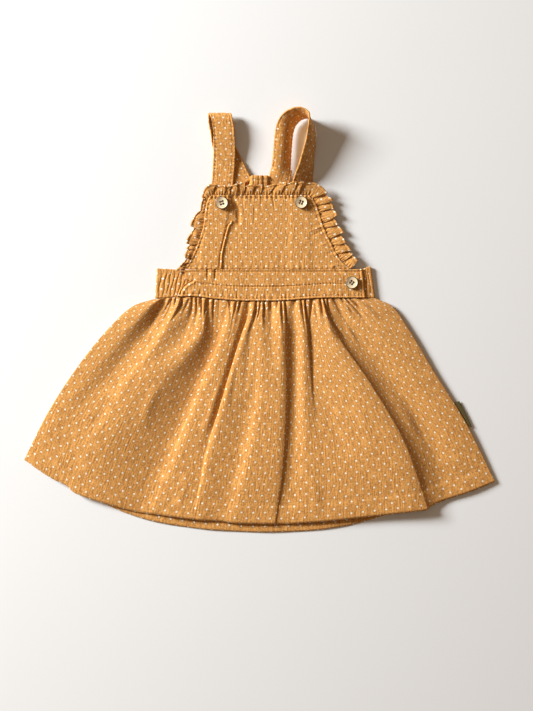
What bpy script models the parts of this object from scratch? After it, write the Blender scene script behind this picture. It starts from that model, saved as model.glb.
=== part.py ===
"""A baby's pinafore dress of dotted cotton, laid flat on its back, front side up.

The dress lies in the XY plane: +X is to the viewer's right, +Y runs from the hem to the
straps and +Z is up. The origin is the middle of the dress, on the surface that it lies on.
All sizes below are in millimetres; wall() and its like turn them to metres.
"""

import bpy
import numpy as np

MM = 0.001

# Driving sizes
CLOTH = 1.0  # thickness of a single wall of cloth
BAND_WALL = 1.2  # waistbands and back panels, which are folded double
STRAP_WALL = 1.6  # a strap is a strip folded in four
STRAP_WIDTH = 22.0
SEAM_GAP = 0.3  # between two pieces that are sewn to each other
MIDDLE = (0.65, -0.79)  # of the outline of the dress, in the coordinates of the tables
BUTTON_WIDTH = 12.5
BUTTON_HEIGHT = 2.6
BUTTON_HOLE = 1.8  # across each of the four holes
BUTTON_HOLE_RING = 1.75  # from the middle of the button to the middle of a hole
BUTTON_SIDES = 24
BUTTONS = (("button_left", -37, 116.5), ("button_right", 42, 117), ("button_waist", 92.5, 37.2))
LABEL_WALL = 1.0
LABEL = (-82, -107, 5.2, 2.8)  # y of its top and bottom, width at the top and bottom
GATHERS = 40  # along the front of the waist seam
GATHER_HEIGHT = 1.5
RUFFLE_WAVES = 40

# Heights of the outer faces, from the surface up
BACK_TOP = BAND_WALL  # the back panels lie on the surface
ELASTIC_TOP = 3.0  # where the elastic band comes round to the front
BAND_TOP = 4.5
BIB_TOP = 4.6

# Colours, linear red, green and blue
MUSTARD = (0.68, 0.34, 0.10)
COCONUT = (0.80, 0.67, 0.47)
OLIVE = (0.09, 0.08, 0.03)

# The front skirt, one row for each fold line from the waist seam to the hem. The six places
# across (x) and the six heights (z) are read at LEVELS, the share of the way down the skirt.
# columns: how many columns of faces lie between this line and the next one.
LEVELS = (0.0, 0.04, 0.15, 0.40, 0.70, 1.0)
FOLD_LINES = (
    # name, columns, x at each level, z at each level, y at the hem
    ("left seam", 1, (-103.4, -123.4, -144, -177.5, -209, -234), (0.6, 0.6, 0.6, 0.6, 0.6, 0.6), -139),
    ("left turn", 1, (-104, -124, -144.5, -178, -209.5, -234.5), (2.6, 5.0, 7.8, 8.9, 8.3, 3.8), -139.6),
    ("left roll", 2, (-100.6, -119, -138.5, -172.5, -206, -230), (3.2, 5.8, 8.5, 9.2, 8.8, 4.2), -142.4),
    ("crest 1", 3, (-97, -108, -126, -162, -200, -223), (4.0, 6.4, 9.0, 9.5, 9.2, 4.6), -147.6),
    ("hollow 1", 3, (-92, -95.5, -108, -143, -188, -207), (4.0, 3.2, 4.2, 6.7, 9.0, 4.4), -158),
    ("floor 1", 3, (-86, -87, -98, -132, -171, -192), (4.0, 4.0, 5.2, 7.4, 9.4, 4.7), -165.5),
    ("crest 2", 3, (-78, -79, -90, -122, -160, -184), (4.0, 6.0, 7.8, 10.0, 10.8, 5.0), -172.5),
    ("dip 2", 3, (-66, -66, -71, -112, -149, -169), (4.0, 3.6, 4.4, 10.8, 10.8, 5.0), -178.4),
    ("crest 3", 4, (-56, -56, -58, -97, -129, -150), (4.0, 5.4, 7.2, 10.0, 8.4, 4.3), -184.2),
    ("hollow 3", 2, (-45, -45.5, -45, -63, -92, -120), (4.0, 3.4, 2.7, 2.3, 2.2, 2.4), -192.2),
    ("foot a", 2, (-31.5, -32.2, -36.4, -57.0, -85, -110), (4.0, 3.6, 3.2, 3.2, 3.2, 3.0), -193.4),
    ("lip a", 2, (-30, -31.4, -37.4, -58.0, -84, -108), (4.0, 4.8, 5.6, 5.4, 3.9, 3.2), -193.7),
    ("crest a", 3, (-25, -26.4, -31.5, -50.5, -76, -99), (4.0, 5.8, 7.6, 6.9, 5.8, 3.1), -195),
    ("foot b", 2, (-9.5, -10.4, -16.4, -33.0, -54, -66), (4.0, 3.6, 3.0, 3.4, 4.9, 4.2), -199.2),
    ("lip b", 2, (-8, -9.2, -17.4, -34.0, -52, -64), (4.0, 4.8, 6.0, 6.4, 6.6, 4.0), -199.5),
    ("crest b", 2, (-4.5, -5.6, -13, -29, -47, -59), (4.0, 6.0, 8.2, 8.8, 7.6, 4.2), -200),
    ("dip 4", 3, (-1.5, -2, -8, -10, -22, -38), (4.0, 5.0, 7.0, 6.2, 5.6, 2.9), -201.2),
    ("crest 5", 2, (2, 2, 3, 4, -7, -23), (4.0, 5.8, 8.0, 8.9, 8.8, 3.8), -203.1),
    ("dip 5", 2, (11, 12, 12, 14, 8, -4), (4.0, 3.8, 6.8, 9.0, 8.8, 3.9), -203.6),
    ("crest 6", 2, (20, 20, 22, 21, 17.5, 12), (4.0, 6.6, 9.0, 9.0, 8.6, 4.2), -203.7),
    ("lip d", 2, (25.5, 26.5, 27.4, 27.4, 24.5, 16), (4.0, 5.2, 7.4, 7.6, 6.9, 3.9), -203.8),
    ("foot d", 2, (27.5, 27.4, 25.8, 25.8, 24.4, 17.0), (4.0, 4.4, 3.4, 3.4, 3.8, 2.9), -203.8),
    ("hollow d", 3, (33, 33, 33.5, 34.5, 34.5, 26), (4.0, 4.5, 3.0, 3.0, 3.2, 2.8), -203.8),
    ("crest 7", 2, (40, 41, 44.5, 45.5, 48, 48), (4.0, 5.6, 7.6, 7.8, 6.2, 4.6), -202.5),
    ("lip e", 2, (45.5, 46, 49.0, 52.2, 57, 62), (4.0, 5.0, 6.2, 6.8, 6.4, 4.8), -201.5),
    ("foot e", 4, (47.5, 48, 48.6, 54.8, 63, 68), (4.0, 4.4, 3.6, 5.8, 6.4, 4.9), -201),
    ("crest 8", 4, (57, 58, 63, 86, 104, 114), (4.0, 5.4, 7.2, 9.4, 10.4, 5.6), -195.9),
    ("crest f", 3, (62, 64.0, 70.5, 101, 135, 156), (4.0, 5.8, 8.6, 11.2, 12.2, 8.0), -191),
    ("lip f", 2, (65, 66.5, 75.3, 110, 146, 168), (4.0, 5.2, 7.6, 10.4, 11.2, 7.4), -189.5),
    ("under f", 2, (67, 68, 76.2, 111.8, 148.4, 170.2), (4.0, 4.0, 6.0, 8.5, 8.9, 5.7), -187),
    ("floor f", 4, (69.5, 71, 81.5, 118.6, 157, 178), (4.0, 3.6, 4.2, 4.9, 5.1, 3.6), -183),
    ("hollow f", 4, (75, 80, 93, 131.5, 171, 190), (4.0, 3.4, 2.8, 2.6, 2.6, 2.4), -178.5),
    ("crest 9", 4, (91, 100, 121, 154, 192, 211), (4.0, 5.2, 5.4, 4.8, 4.6, 2.8), -171.7),
    ("right turn", 1, (116, 132, 147.5, 175, 209, 235.8), (2.6, 3.0, 3.2, 3.0, 2.6, 2.2), -161.6),
    ("right seam", 0, (115.4, 131.4, 147, 174.5, 208.5, 235.3), (0.6, 0.6, 0.6, 0.6, 0.6, 0.6), -161.5),
)
# Rows of faces down the front skirt; the first four keep the fine columns of the gathers
SKIRT_ROWS = (0.0, 0.02, 0.06, 0.12, 0.2, 0.3, 0.4, 0.5, 0.6, 0.7, 0.8, 0.9, 1.0)
FINE_ROWS = 4

WAIST_SEAM = ((-104, 21.5), (-67, 23.5), (-44, 21), (-13, 19), (12, 19), (71, 22), (116, 22))

# The back hem, from the left corner to the right corner: it shows below the front hem
# between x = -164 and x = 125
BACK_HEM = (
    (-228, -138), (-196, -153), (-167, -168), (-163, -176.5), (-154, -181.5), (-133, -191),
    (-108, -199), (-77, -205), (-44, -209), (6, -211.3), (41, -210.4), (84, -205.4), (105, -200.5),
    (125, -194.5), (150, -186), (172, -178), (206, -170), (228, -162),
)

# Top edge of the waistband along the front, and the ends of the elastic and front bands
BAND_TOP_EDGE = ((-104, 51.6), (-92, 50.6), (-76, 48.4), (-60, 50.4), (98, 50.5), (112, 53))
ELASTIC_ENDS = (-66, 86)  # tucked under the flat front band
FRONT_BAND_LEFT = (
    # share of the way down, x: a rounded lap below the stitched middle line
    (0.0, -74), (0.28, -74), (0.36, -73.6), (0.40, -68.5), (0.47, -71), (0.56, -75),
    (0.78, -79), (1.0, -82),
)
FRONT_BAND_RIGHT = (103, 106)
RIB_PITCH = 3.8
RIB_HEIGHT = 0.7

# Bib: its left and right edges at each height, widening to the waistband
BIB_SIDES = (
    # y, left x, right x
    (124.5, -46, 50), (122, -50, 53), (113, -53, 58), (92, -56, 65), (78, -60.5, 71.5),
    (59, -69, 82), (50.9, -74, 92),
)
BACK_BIB_SIDES = (
    (143.5, -39, 28.5), (131, -44, 33), (124, -46, 43), (92, -54, 58), (51.6, -66, 78),
)
# Frill round the bib's edge, from the lower left corner up, across and down to the lower
# right: its width, and the heights of its outer face at the seam and at its free edge
RUFFLE = (
    # share of the way round, width, z at the seam, z at the free edge
    (0.00, 5.5, 4.6, 4.2), (0.08, 6.5, 4.6, 4.0), (0.16, 9.5, 4.6, 3.8), (0.26, 9.5, 4.8, 4.0),
    (0.30, 7.5, 5.9, 7.0), (0.34, 8.0, 6.6, 9.0), (0.42, 9.5, 6.3, 8.6), (0.50, 10.5, 5.6, 7.4),
    (0.57, 8.5, 5.8, 8.4), (0.61, 11.0, 6.4, 11.6), (0.65, 12.0, 6.6, 11.4), (0.69, 12.5, 6.0, 8.0),
    (0.74, 14.0, 4.8, 4.2), (0.84, 13.0, 4.6, 3.8), (0.94, 12.0, 4.6, 4.0), (1.00, 9.0, 4.6, 4.2),
)
RUFFLE_WALL = 1.6  # measured straight up, so that the steep sides of a wave stay 1 mm thick
WAVE_HEIGHT = 1.3
WAVE_LEAN = 0.7  # how far the side of a wave moves along the edge

# Straps: the middle of each section, the direction of the strap's first edge (degrees round
# from +X) and how far that edge is turned up (degrees), from the back bib over the shoulder
# loop to the end behind the front bib
STRAP_LEFT = (
    # x, y, z, heading, lift
    (-16, 135, 2.4, 207, 0), (-20.8, 143, 2.4, 206, 0), (-28, 158, 1.7, 203, 0),
    (-34.5, 172, 1.2, 195, 0), (-38.5, 186, 1.2, 184, 0), (-40, 199, 1.5, 180, 0),
    (-39, 205.8, 3.8, 180, 0), (-37, 200, 6.3, 180, 0), (-35, 186, 5.9, 178, 0),
    (-34.5, 170, 5.2, 179, 0), (-35.3, 150, 4.7, 181, 0), (-36.3, 138, 4.4, 184, 0),
    (-36.9, 132, 4.3, 185, 0), (-38, 125, 3.0, 187, 0), (-39.5, 116, 2.5, 189, 0),
    (-45, 85, 2.4, 190, 0),
    (-49.5, 58, 2.4, 190, 0),
)
STRAP_RIGHT = (
    # x, y, z, heading, lift
    (16.5, 128, 2.6, 168, 0), (19.5, 138, 4.2, 168, 9), (21.7, 146, 6.0, 168, 22),
    (23.5, 154, 8.0, 168, 36), (25, 170, 8.6, 172, 42), (26.5, 186, 8.6, 170, 41),
    (29.5, 197.0, 8.8, 155, 42), (35.0, 203.6, 10.4, 125, 56), (42, 206.8, 11.9, 92, 76),
    (48.5, 204.6, 12.2, 55, 92), (53, 197.5, 11.8, 18, 107), (54.5, 186, 11.2, 0, 115),
    (53, 174, 10.5, -8, 122), (50.5, 162, 9.9, -10, 128), (48, 151, 8.7, -12, 137),
    (45.5, 143, 6.8, -12, 148), (44, 136.5, 4.9, -10, 160), (43, 130, 3.6, -6, 171),
    (42.5, 123, 2.8, -3, 177), (42, 114, 2.4, 0, 180), (41, 90, 2.4, 2, 180),
    (41, 64, 2.4, 2, 180),
)


def smooth(knots, values, at):
    """The values at `at`, by cubic pieces through the knots that never overshoot them."""
    knots, values, at = (np.asarray(a, float) for a in (knots, values, at))
    spread = (-1,) + (1,) * (values.ndim - 1)
    rise = np.diff(values, axis=0) / np.diff(knots).reshape(spread)
    slope = np.concatenate([rise[:1], rise[:-1], rise[-1:]])
    turning = rise[:-1] * rise[1:] <= 0
    total = np.where(turning, 1.0, rise[:-1] + rise[1:])
    slope[1:-1] = np.where(turning, 0.0, 2 * rise[:-1] * rise[1:] / total)
    i = np.clip(np.searchsorted(knots, at) - 1, 0, len(knots) - 2)
    gap = (knots[i + 1] - knots[i]).reshape(spread)
    q = (at.reshape(spread) - knots[i].reshape(spread)) / gap
    start, end = values[i], values[i + 1]
    bend = slope[i] * gap * q * (1 - q) ** 2 - slope[i + 1] * gap * q**2 * (1 - q)
    return start + (end - start) * q**2 * (3 - 2 * q) + bend


def column(rows, *names):
    """The numbered columns of a table, as an array."""
    return np.array([[row[name] for name in names] for row in rows], float)


def cloth_material(name, colour, roughness=0.9):
    material = bpy.data.materials.new(name)
    material.use_nodes = True
    shader = material.node_tree.nodes["Principled BSDF"]
    shader.inputs["Base Color"].default_value = (*colour, 1)
    shader.inputs["Roughness"].default_value = roughness
    shader.inputs["Metallic"].default_value = 0.0
    return material


def solid(name, points, faces, colour, roughness=0.9):
    """A named object of these points (millimetres) and faces, with a material of its own."""
    mesh = bpy.data.meshes.new(name)
    mesh.from_pydata(((np.asarray(points) - (*MIDDLE, 0)) * MM).tolist(), [], faces)
    mesh.validate()
    mesh.materials.append(cloth_material(name + " cloth", colour, roughness))
    mesh.shade_smooth()
    mesh.set_sharp_from_angle(angle=np.radians(50))
    piece = bpy.data.objects.new(name, mesh)
    bpy.context.scene.collection.objects.link(piece)
    return piece


def normals_of(grid):
    """Unit normals of a grid of points whose rows run down and whose columns run right."""
    across = np.gradient(grid, axis=1)
    down = np.gradient(grid, axis=0)
    normal = np.cross(down, across)
    return normal / np.linalg.norm(normal, axis=2, keepdims=True)


def wall(name, outer, inner, colour=MUSTARD, coarse_from=None):
    """A closed wall between two grids of points. From row coarse_from down, only every
    other column is kept, joined to the fine columns by five-sided faces."""
    rows, columns = outer.shape[:2]
    coarse_from = rows if coarse_from is None else coarse_from
    kept = [list(range(0, columns, 1 if row < coarse_from else 2)) for row in range(rows)]
    number, points = {}, []
    for side, grid in enumerate((outer, inner)):
        for row in range(rows):
            for place in kept[row]:
                number[side, row, place] = len(points)
                points.append(grid[row, place])
    faces = []
    for row in range(rows - 1):
        lower = kept[row + 1]
        for left, right in zip(lower, lower[1:]):
            upper = [place for place in kept[row] if left <= place <= right]
            ring = [(row, place) for place in upper] + [(row + 1, right), (row + 1, left)]
            faces.append([number[0, r, place] for r, place in reversed(ring)])
            faces.append([number[1, r, place] for r, place in ring])
    border = [(0, place) for place in kept[0]]
    border += [(row, columns - 1) for row in range(1, rows)]
    border += [(rows - 1, place) for place in reversed(kept[-1][:-1])]
    border += [(row, 0) for row in range(rows - 2, 0, -1)]
    for here, there in zip(border, border[1:] + border[:1]):
        faces.append([number[0, *here], number[0, *there], number[1, *there], number[1, *here]])
    return solid(name, points, faces, colour)


def flat_wall(name, outer, thickness, colour=MUSTARD):
    """A wall whose inner face lies straight below its outer face."""
    return wall(name, outer, outer - np.array([0, 0, thickness]), colour)


def waist_seam(x):
    table = column(WAIST_SEAM, 0, 1)
    return smooth(table[:, 0], table[:, 1], x)


def skirt_front_grid():
    """Points of the front skirt's outer face, a row for each share of the way down."""
    count = np.cumsum([0] + [row[1] for row in FOLD_LINES[:-1]])
    place = np.arange(0, count[-1] + 0.25, 0.5)
    down = np.array(SKIRT_ROWS)
    line_x = smooth(LEVELS, column(FOLD_LINES, 2)[:, 0].T, down)
    line_z = smooth(LEVELS, column(FOLD_LINES, 3)[:, 0].T, down)
    x = smooth(count, line_x.T, place).T
    z = smooth(count, line_z.T, place).T
    hem = smooth(count, [row[4] for row in FOLD_LINES], place)
    seam = waist_seam(x[0]) - SEAM_GAP
    y = seam + (hem - seam) * down[:, None]
    z += gathers(x[0], down[:, None])
    return np.stack([x, y, z], axis=2)


def gathers(seam_x, down):
    """The height that the gathers add: round tops and sharp valleys, of uneven length."""
    left, right = WAIST_SEAM[0][0], WAIST_SEAM[-1][0]
    turn = GATHERS * (seam_x - left) / (right - left)
    turn = turn + 0.22 * np.sin(1.7 * turn)
    length = 0.075 + 0.035 * np.sin(2.3 * np.floor(turn))
    height = GATHER_HEIGHT * (1 + 0.25 * np.sin(3.1 * np.floor(turn)))
    inside = np.clip(np.minimum(turn, GATHERS - turn) - 1, 0, 1)
    fade = np.exp(-((down / length) ** 2))
    return inside * fade * height * (np.abs(np.sin(np.pi * turn)) - 0.5)


def skirt_thickness(outer):
    """The step from each point of the front skirt's inner face out to its outer face."""
    normals = normals_of(outer)
    normals[0, :, 1] = np.maximum(normals[0, :, 1], 0)  # the wall stays below the waist seam
    normals[0] /= np.linalg.norm(normals[0], axis=1, keepdims=True)
    for edge, corner, beside in ((0, 2, 3), (-1, -3, -4)):
        normals[:, corner] = normals[:, edge] + (0, 0, 1)
        normals[:, beside] = 0.7 * normals[:, edge] + (0, 0, 1)
    return CLOTH * normals


def make_skirt():
    outer = skirt_front_grid()
    wall("skirt_front", outer, outer - skirt_thickness(outer), coarse_from=FINE_ROWS)
    inset = CLOTH + SEAM_GAP + 0.1
    left = inset_line(outer[:, 0, :2], inset)
    right = inset_line(outer[:, -1, :2], -inset)
    across = np.linspace(0, 1, 41)[:, None]
    hem = left[-1] + (right[-1] - left[-1]) * across
    hem_table = np.array(BACK_HEM, float)
    hem[:, 1] = smooth(hem_table[:, 0], hem_table[:, 1], hem[:, 0])
    seam = left[0] + (right[0] - left[0]) * across
    seam[:, 1] = waist_seam(seam[:, 0]) - SEAM_GAP
    rows = []
    for share, left_end, right_end in zip(SKIRT_ROWS, left, right):
        straight = seam + (hem - seam) * share
        row = straight + (left_end - straight[0]) * (1 - across) ** 3
        row += (right_end - straight[-1]) * across**3
        rows.append(np.column_stack([row, np.full(len(row), BACK_TOP)]))
    flat_wall("skirt_back", np.array(rows), BAND_WALL)


def inset_line(line, distance):
    """A line in the plane, moved to its left by a distance (seen along the line, from above)."""
    along = np.gradient(line, axis=0)
    along /= np.linalg.norm(along, axis=1, keepdims=True)
    return line + distance * np.stack([-along[:, 1], along[:, 0]], axis=1)


def ease(value):
    """0 below 0, 1 above 1, and a smooth step between."""
    value = np.clip(value, 0, 1)
    return value * value * (3 - 2 * value)


def make_elastic_band():
    """The back waistband, which comes round both sides and is ribbed where it shows."""
    left, right = WAIST_SEAM[0][0], WAIST_SEAM[-1][0]
    turn = ELASTIC_TOP / 2
    angles = np.radians(np.arange(0, 181, 30))
    right_turn = [(right - turn + turn * np.sin(a), turn + turn * np.cos(a)) for a in angles]
    left_turn = [(left + turn - turn * np.sin(a), turn - turn * np.cos(a)) for a in angles]
    right_front = np.arange(ELASTIC_ENDS[1], right - turn - 0.5, RIB_PITCH / 4)
    left_front = np.arange(left + turn + 0.5, ELASTIC_ENDS[0], RIB_PITCH / 4)
    under = np.linspace(right - turn, left + turn, 12)[1:-1]
    path = [(x, ELASTIC_TOP) for x in right_front] + right_turn + [(x, 0) for x in under]
    path = np.array(path + left_turn + [(x, ELASTIC_TOP) for x in left_front])
    x, z = path[:, 0], path[:, 1]
    top_table = column(BAND_TOP_EDGE, 0, 1)
    top = smooth(top_table[:, 0], top_table[:, 1], np.clip(x, left, top_table[-1, 0]))
    bottom = waist_seam(x)
    share = np.linspace(0, 1, 5)[:, None]
    y = top + (bottom - top) * share
    on_front = z >= ELASTIC_TOP
    slant = 6.0 * ease((x - left) / 10) * on_front * (x < 0)
    lean = np.where(x < 0, 2.0 * ease(1 - (x - left) / 12), -4.0 * ease(1 - (right - x) / 14))
    rows_x = x + (slant + lean) * (1 - share)
    turns = np.where(x < 0, x - left, right - x) / RIB_PITCH
    ribs = RIB_HEIGHT * (np.abs(np.sin(np.pi * turns)) - 1) * on_front
    rows_z = z + ribs * np.sin(np.pi * np.clip(share, 0.08, 0.92))
    outer = np.stack([rows_x, y, rows_z], axis=2)
    plain = np.stack([rows_x, y, np.broadcast_to(z, y.shape)], axis=2)
    inner = plain - (BAND_WALL + RIB_HEIGHT * on_front[:, None]) * normals_of(plain)
    inner[:, on_front, 2] = ELASTIC_TOP - BAND_WALL - 0.1
    wall("waistband_back", outer, inner)


def front_band_grid():
    left_table = np.array(FRONT_BAND_LEFT)
    share = left_table[:, 0]
    across = np.linspace(0, 1, 33)
    left = left_table[:, 1][:, None]
    right = (FRONT_BAND_RIGHT[0] + (FRONT_BAND_RIGHT[1] - FRONT_BAND_RIGHT[0]) * share)[:, None]
    x = left + (right - left) * across
    top_table = column(BAND_TOP_EDGE, 0, 1)
    top = smooth(top_table[:, 0], top_table[:, 1], np.maximum(x.ravel(), -74)).reshape(x.shape)
    bottom = waist_seam(x.ravel()).reshape(x.shape)
    y = top + (bottom - top) * share[:, None]
    z = BAND_TOP + 0.25 * np.sin(x / 5.5) * np.sin(np.pi * share[:, None])
    return np.stack([x, y, z], axis=2)


def strap_sections(table, count):
    """(middle, first edge direction) of `count` evenly numbered sections along a strap."""
    rows = np.array(table, float)
    steps = np.linalg.norm(np.diff(rows[:, :3], axis=0), axis=1)
    along = np.concatenate([[0], np.cumsum(steps)])
    at = smooth(along, rows, np.linspace(0, along[-1], count))
    heading, lift = np.radians(at[:, 3]), np.radians(at[:, 4])
    edge = np.stack(
        [np.cos(lift) * np.cos(heading), np.cos(lift) * np.sin(heading), np.sin(lift)], axis=1
    )
    return at[:, :3], edge


def make_strap(name, table, count):
    middle, edge = strap_sections(table, count)
    along = np.gradient(middle, axis=0)
    face = np.cross(edge, along)
    face /= np.linalg.norm(face, axis=1, keepdims=True)
    half_width, half_wall = STRAP_WIDTH / 2, STRAP_WALL / 2
    shares = np.array([-1.0, -0.5, 0.5, 1.0])
    rim = np.array([0.6, 1.0, 1.0, 0.6])
    outer, inner = [], []
    for share, thick in zip(shares, rim):
        line = middle + edge * half_width * share
        outer.append(line + face * half_wall * thick)
        inner.append(line - face * half_wall * thick)
    return wall(name, np.array(outer), np.array(inner))


def bib_edge(y, side):
    """x of the bib's left (side 1) or right (side 2) edge at these heights."""
    table = np.array(BIB_SIDES)[::-1]
    return smooth(table[:, 0], table[:, side], y)


def bib_height(x, y):
    """z of the bib's outer face: it lies over the strap ends and pulls in between them."""
    left_tail = np.array(STRAP_LEFT)[-5:][::-1]
    tail_x = np.interp(y, left_tail[:, 1], left_tail[:, 0])
    over_left = ease((12.5 - np.abs(x - tail_x)) / 4)
    over_right = ease((13 - np.abs(x - STRAP_RIGHT[-1][0])) / 5)
    near_top = ease((y - 100) / 22)
    hollow = np.exp(-(((x + 21 - 0.1 * (y - 110)) / 6) ** 2)) * ease((y - 80) / 20)
    return BIB_TOP + 0.6 * over_left + 0.5 * over_right + 0.9 * near_top - 0.7 * hollow


def bib_front_grid():
    top, bottom = BIB_SIDES[0][0], BIB_SIDES[-1][0]
    y = top + (bottom - top) * np.linspace(0, 1, 15) ** 1.1
    across = np.linspace(0, 1, 31)
    left, right = bib_edge(y, 1)[:, None], bib_edge(y, 2)[:, None]
    x = left + (right - left) * across
    y = np.broadcast_to(y[:, None], x.shape)
    return np.stack([x, y, bib_height(x, y)], axis=2)


def make_back_bib():
    sides = np.array(BACK_BIB_SIDES)[::-1]
    y = np.linspace(sides[-1, 0], sides[0, 0], 9)
    left = smooth(sides[:, 0], sides[:, 1], y)[:, None]
    right = smooth(sides[:, 0], sides[:, 2], y)[:, None]
    x = left + (right - left) * np.linspace(0, 1, 53)
    down = (sides[-1, 0] - y)[:, None]
    showing = ease((x + 7) / 3) * ease((9 - x) / 3)
    gathered = showing * np.exp(-((down / 14) ** 2))
    z = BACK_TOP + 1.6 * gathered * np.abs(np.sin(np.pi * x / 5.2))
    rise = 1.8 * showing * np.exp(-((down / 6) ** 2))
    y = np.broadcast_to(y[:, None], x.shape) + rise
    flat_wall("back_bib", np.stack([x, y, z], axis=2), BAND_WALL)


def ruffle_root():
    """The seam line round the bib (just outside its edge) and the way out from it."""
    bottom, top = 52.5, BIB_SIDES[0][0]
    rise = np.linspace(bottom, top, 60)
    left = np.stack([bib_edge(rise, 1), rise], axis=1)
    right = np.stack([bib_edge(rise, 2), rise], axis=1)[::-1]
    across = np.linspace(BIB_SIDES[0][1], BIB_SIDES[0][2], 60)[1:-1]
    line = np.concatenate([left, np.stack([across, np.full(58, top)], axis=1), right])
    length = np.concatenate([[0], np.cumsum(np.linalg.norm(np.diff(line, axis=0), axis=1))])
    share = np.linspace(0, 1, 4 * RUFFLE_WAVES + 1)
    even = np.stack([np.interp(share * length[-1], length, line[:, k]) for k in (0, 1)], axis=1)
    along = np.gradient(even, axis=0)
    for _ in range(12):
        along[1:-1] = (along[:-2] + 2 * along[1:-1] + along[2:]) / 4
    along /= np.linalg.norm(along, axis=1, keepdims=True)
    out = np.stack([-along[:, 1], along[:, 0]], axis=1)
    return share, even + (SEAM_GAP + 0.15) * out, out, along


def make_ruffle():
    share, root, out, along = ruffle_root()
    table = np.array(RUFFLE)
    width, seam_z, edge_z = smooth(table[:, 0], table[:, 1:], share).T
    turn = 2 * np.pi * RUFFLE_WAVES * share
    uneven = 1 + 0.25 * np.sin(23 * share) * np.sin(61 * share)
    lean = WAVE_LEAN * uneven * np.cos(turn)
    rows = []
    for reach in (1.0, 0.6, 0.25, 0.0):
        plan = root + out * (width * reach * (1 + 0.06 * np.sin(turn)))[:, None]
        plan = plan + along * (reach * lean)[:, None]
        z = seam_z + (edge_z - seam_z) * reach
        z = z + WAVE_HEIGHT * uneven * np.sin(turn) * (0.15 + 0.85 * reach)
        rows.append(np.column_stack([plan, z]))
    flat_wall("bib_ruffle", np.array(rows), RUFFLE_WALL)


def make_button(name, x, y, base):
    """A turned disc with a raised rim and a dished face, cut through by four holes."""
    radius = BUTTON_WIDTH / 2
    profile = (
        # radius, height
        (0.80 * radius, 0.0), (radius, 0.30 * BUTTON_HEIGHT), (radius, 0.72 * BUTTON_HEIGHT),
        (0.90 * radius, BUTTON_HEIGHT), (0.76 * radius, 0.94 * BUTTON_HEIGHT),
        (0.64 * radius, 0.72 * BUTTON_HEIGHT),
    )
    points, faces = [], []
    for ring, height in profile:
        for step in range(BUTTON_SIDES):
            angle = 2 * np.pi * step / BUTTON_SIDES
            points.append((x + ring * np.cos(angle), y + ring * np.sin(angle), base + height))
    for level in range(len(profile) - 1):
        for step in range(BUTTON_SIDES):
            here = level * BUTTON_SIDES + step
            there = level * BUTTON_SIDES + (step + 1) % BUTTON_SIDES
            faces.append([here, there, there + BUTTON_SIDES, here + BUTTON_SIDES])
    faces.append(list(reversed(range(BUTTON_SIDES))))
    faces.append([(len(profile) - 1) * BUTTON_SIDES + step for step in range(BUTTON_SIDES)])
    button = solid(name, points, faces, COCONUT, roughness=0.45)
    for hole in range(4):
        angle = np.pi / 4 + hole * np.pi / 2
        bpy.ops.mesh.primitive_cylinder_add(
            vertices=8, radius=BUTTON_HOLE / 2 * MM, depth=3 * BUTTON_HEIGHT * MM,
            location=(
                (x - MIDDLE[0] + BUTTON_HOLE_RING * np.cos(angle)) * MM,
                (y - MIDDLE[1] + BUTTON_HOLE_RING * np.sin(angle)) * MM,
                base * MM,
            ),
        )
        drill = bpy.context.object
        drill.name = f"{name} drill {hole}"
        drill.hide_render = True
        drill.display_type = "WIRE"
        cut = button.modifiers.new(drill.name, "BOOLEAN")
        cut.object = drill
        cut.operation = "DIFFERENCE"


def make_label(skirt):
    top, bottom, top_width, bottom_width = LABEL
    y = np.linspace(top, bottom, 5)
    edge_y, edge_x = skirt[::-1, -2, 1], skirt[::-1, -2, 0]
    inner = np.interp(y, edge_y, edge_x) + SEAM_GAP + 0.25
    outer = inner + np.linspace(top_width, bottom_width, 5)
    y_outer = y + np.linspace(1.0, 0.2, 5)
    z = np.full(5, 0.8 + LABEL_WALL)
    grid = np.stack([np.stack([inner, y, z], 1), np.stack([outer, y_outer, z], 1)], axis=1)
    flat_wall("side_label", grid, LABEL_WALL, OLIVE)


def button_base(x, y):
    """The height that a button rests at: just above the cloth below its rim."""
    if y < BIB_SIDES[-1][0]:
        return BAND_TOP + 0.25 + SEAM_GAP
    angle = np.linspace(0, 2 * np.pi, 25)
    reach = np.array([[0.0], [0.5], [0.8]]) * BUTTON_WIDTH / 2
    around = bib_height(x + reach * np.cos(angle), y + reach * np.sin(angle))
    return around.max() + SEAM_GAP


def main():
    for old in list(bpy.data.objects):
        bpy.data.objects.remove(old, do_unlink=True)
    make_skirt()
    make_elastic_band()
    flat_wall("waistband_front", front_band_grid(), BAND_WALL)
    make_back_bib()
    make_strap("strap_left", STRAP_LEFT, 52)
    make_strap("strap_right", STRAP_RIGHT, 58)
    bib = bib_front_grid()
    flat_wall("bib_front", bib, CLOTH)
    make_ruffle()
    for name, x, y in BUTTONS:
        make_button(name, x, y, button_base(x, y))
    make_label(skirt_front_grid())


main()
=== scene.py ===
# %% [markdown]
# # A child's pinafore dress in dotted cotton, laid flat
#
# The real dress is cut from a light mustard cotton with a printed pin dot. A skirt is
# gathered onto a waistband, a small bib with a frill buttons to two straps, and the whole
# thing lies on its back on a table. This lesson dresses the plain solids of that dress:
# each piece of cloth becomes a fine shell with its gathers, creases and sewing.
#
# Sizes in the tables are millimetres. +X is to the viewer's right, +Y runs from the hem to
# the straps, and +Z is up from the table.

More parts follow.
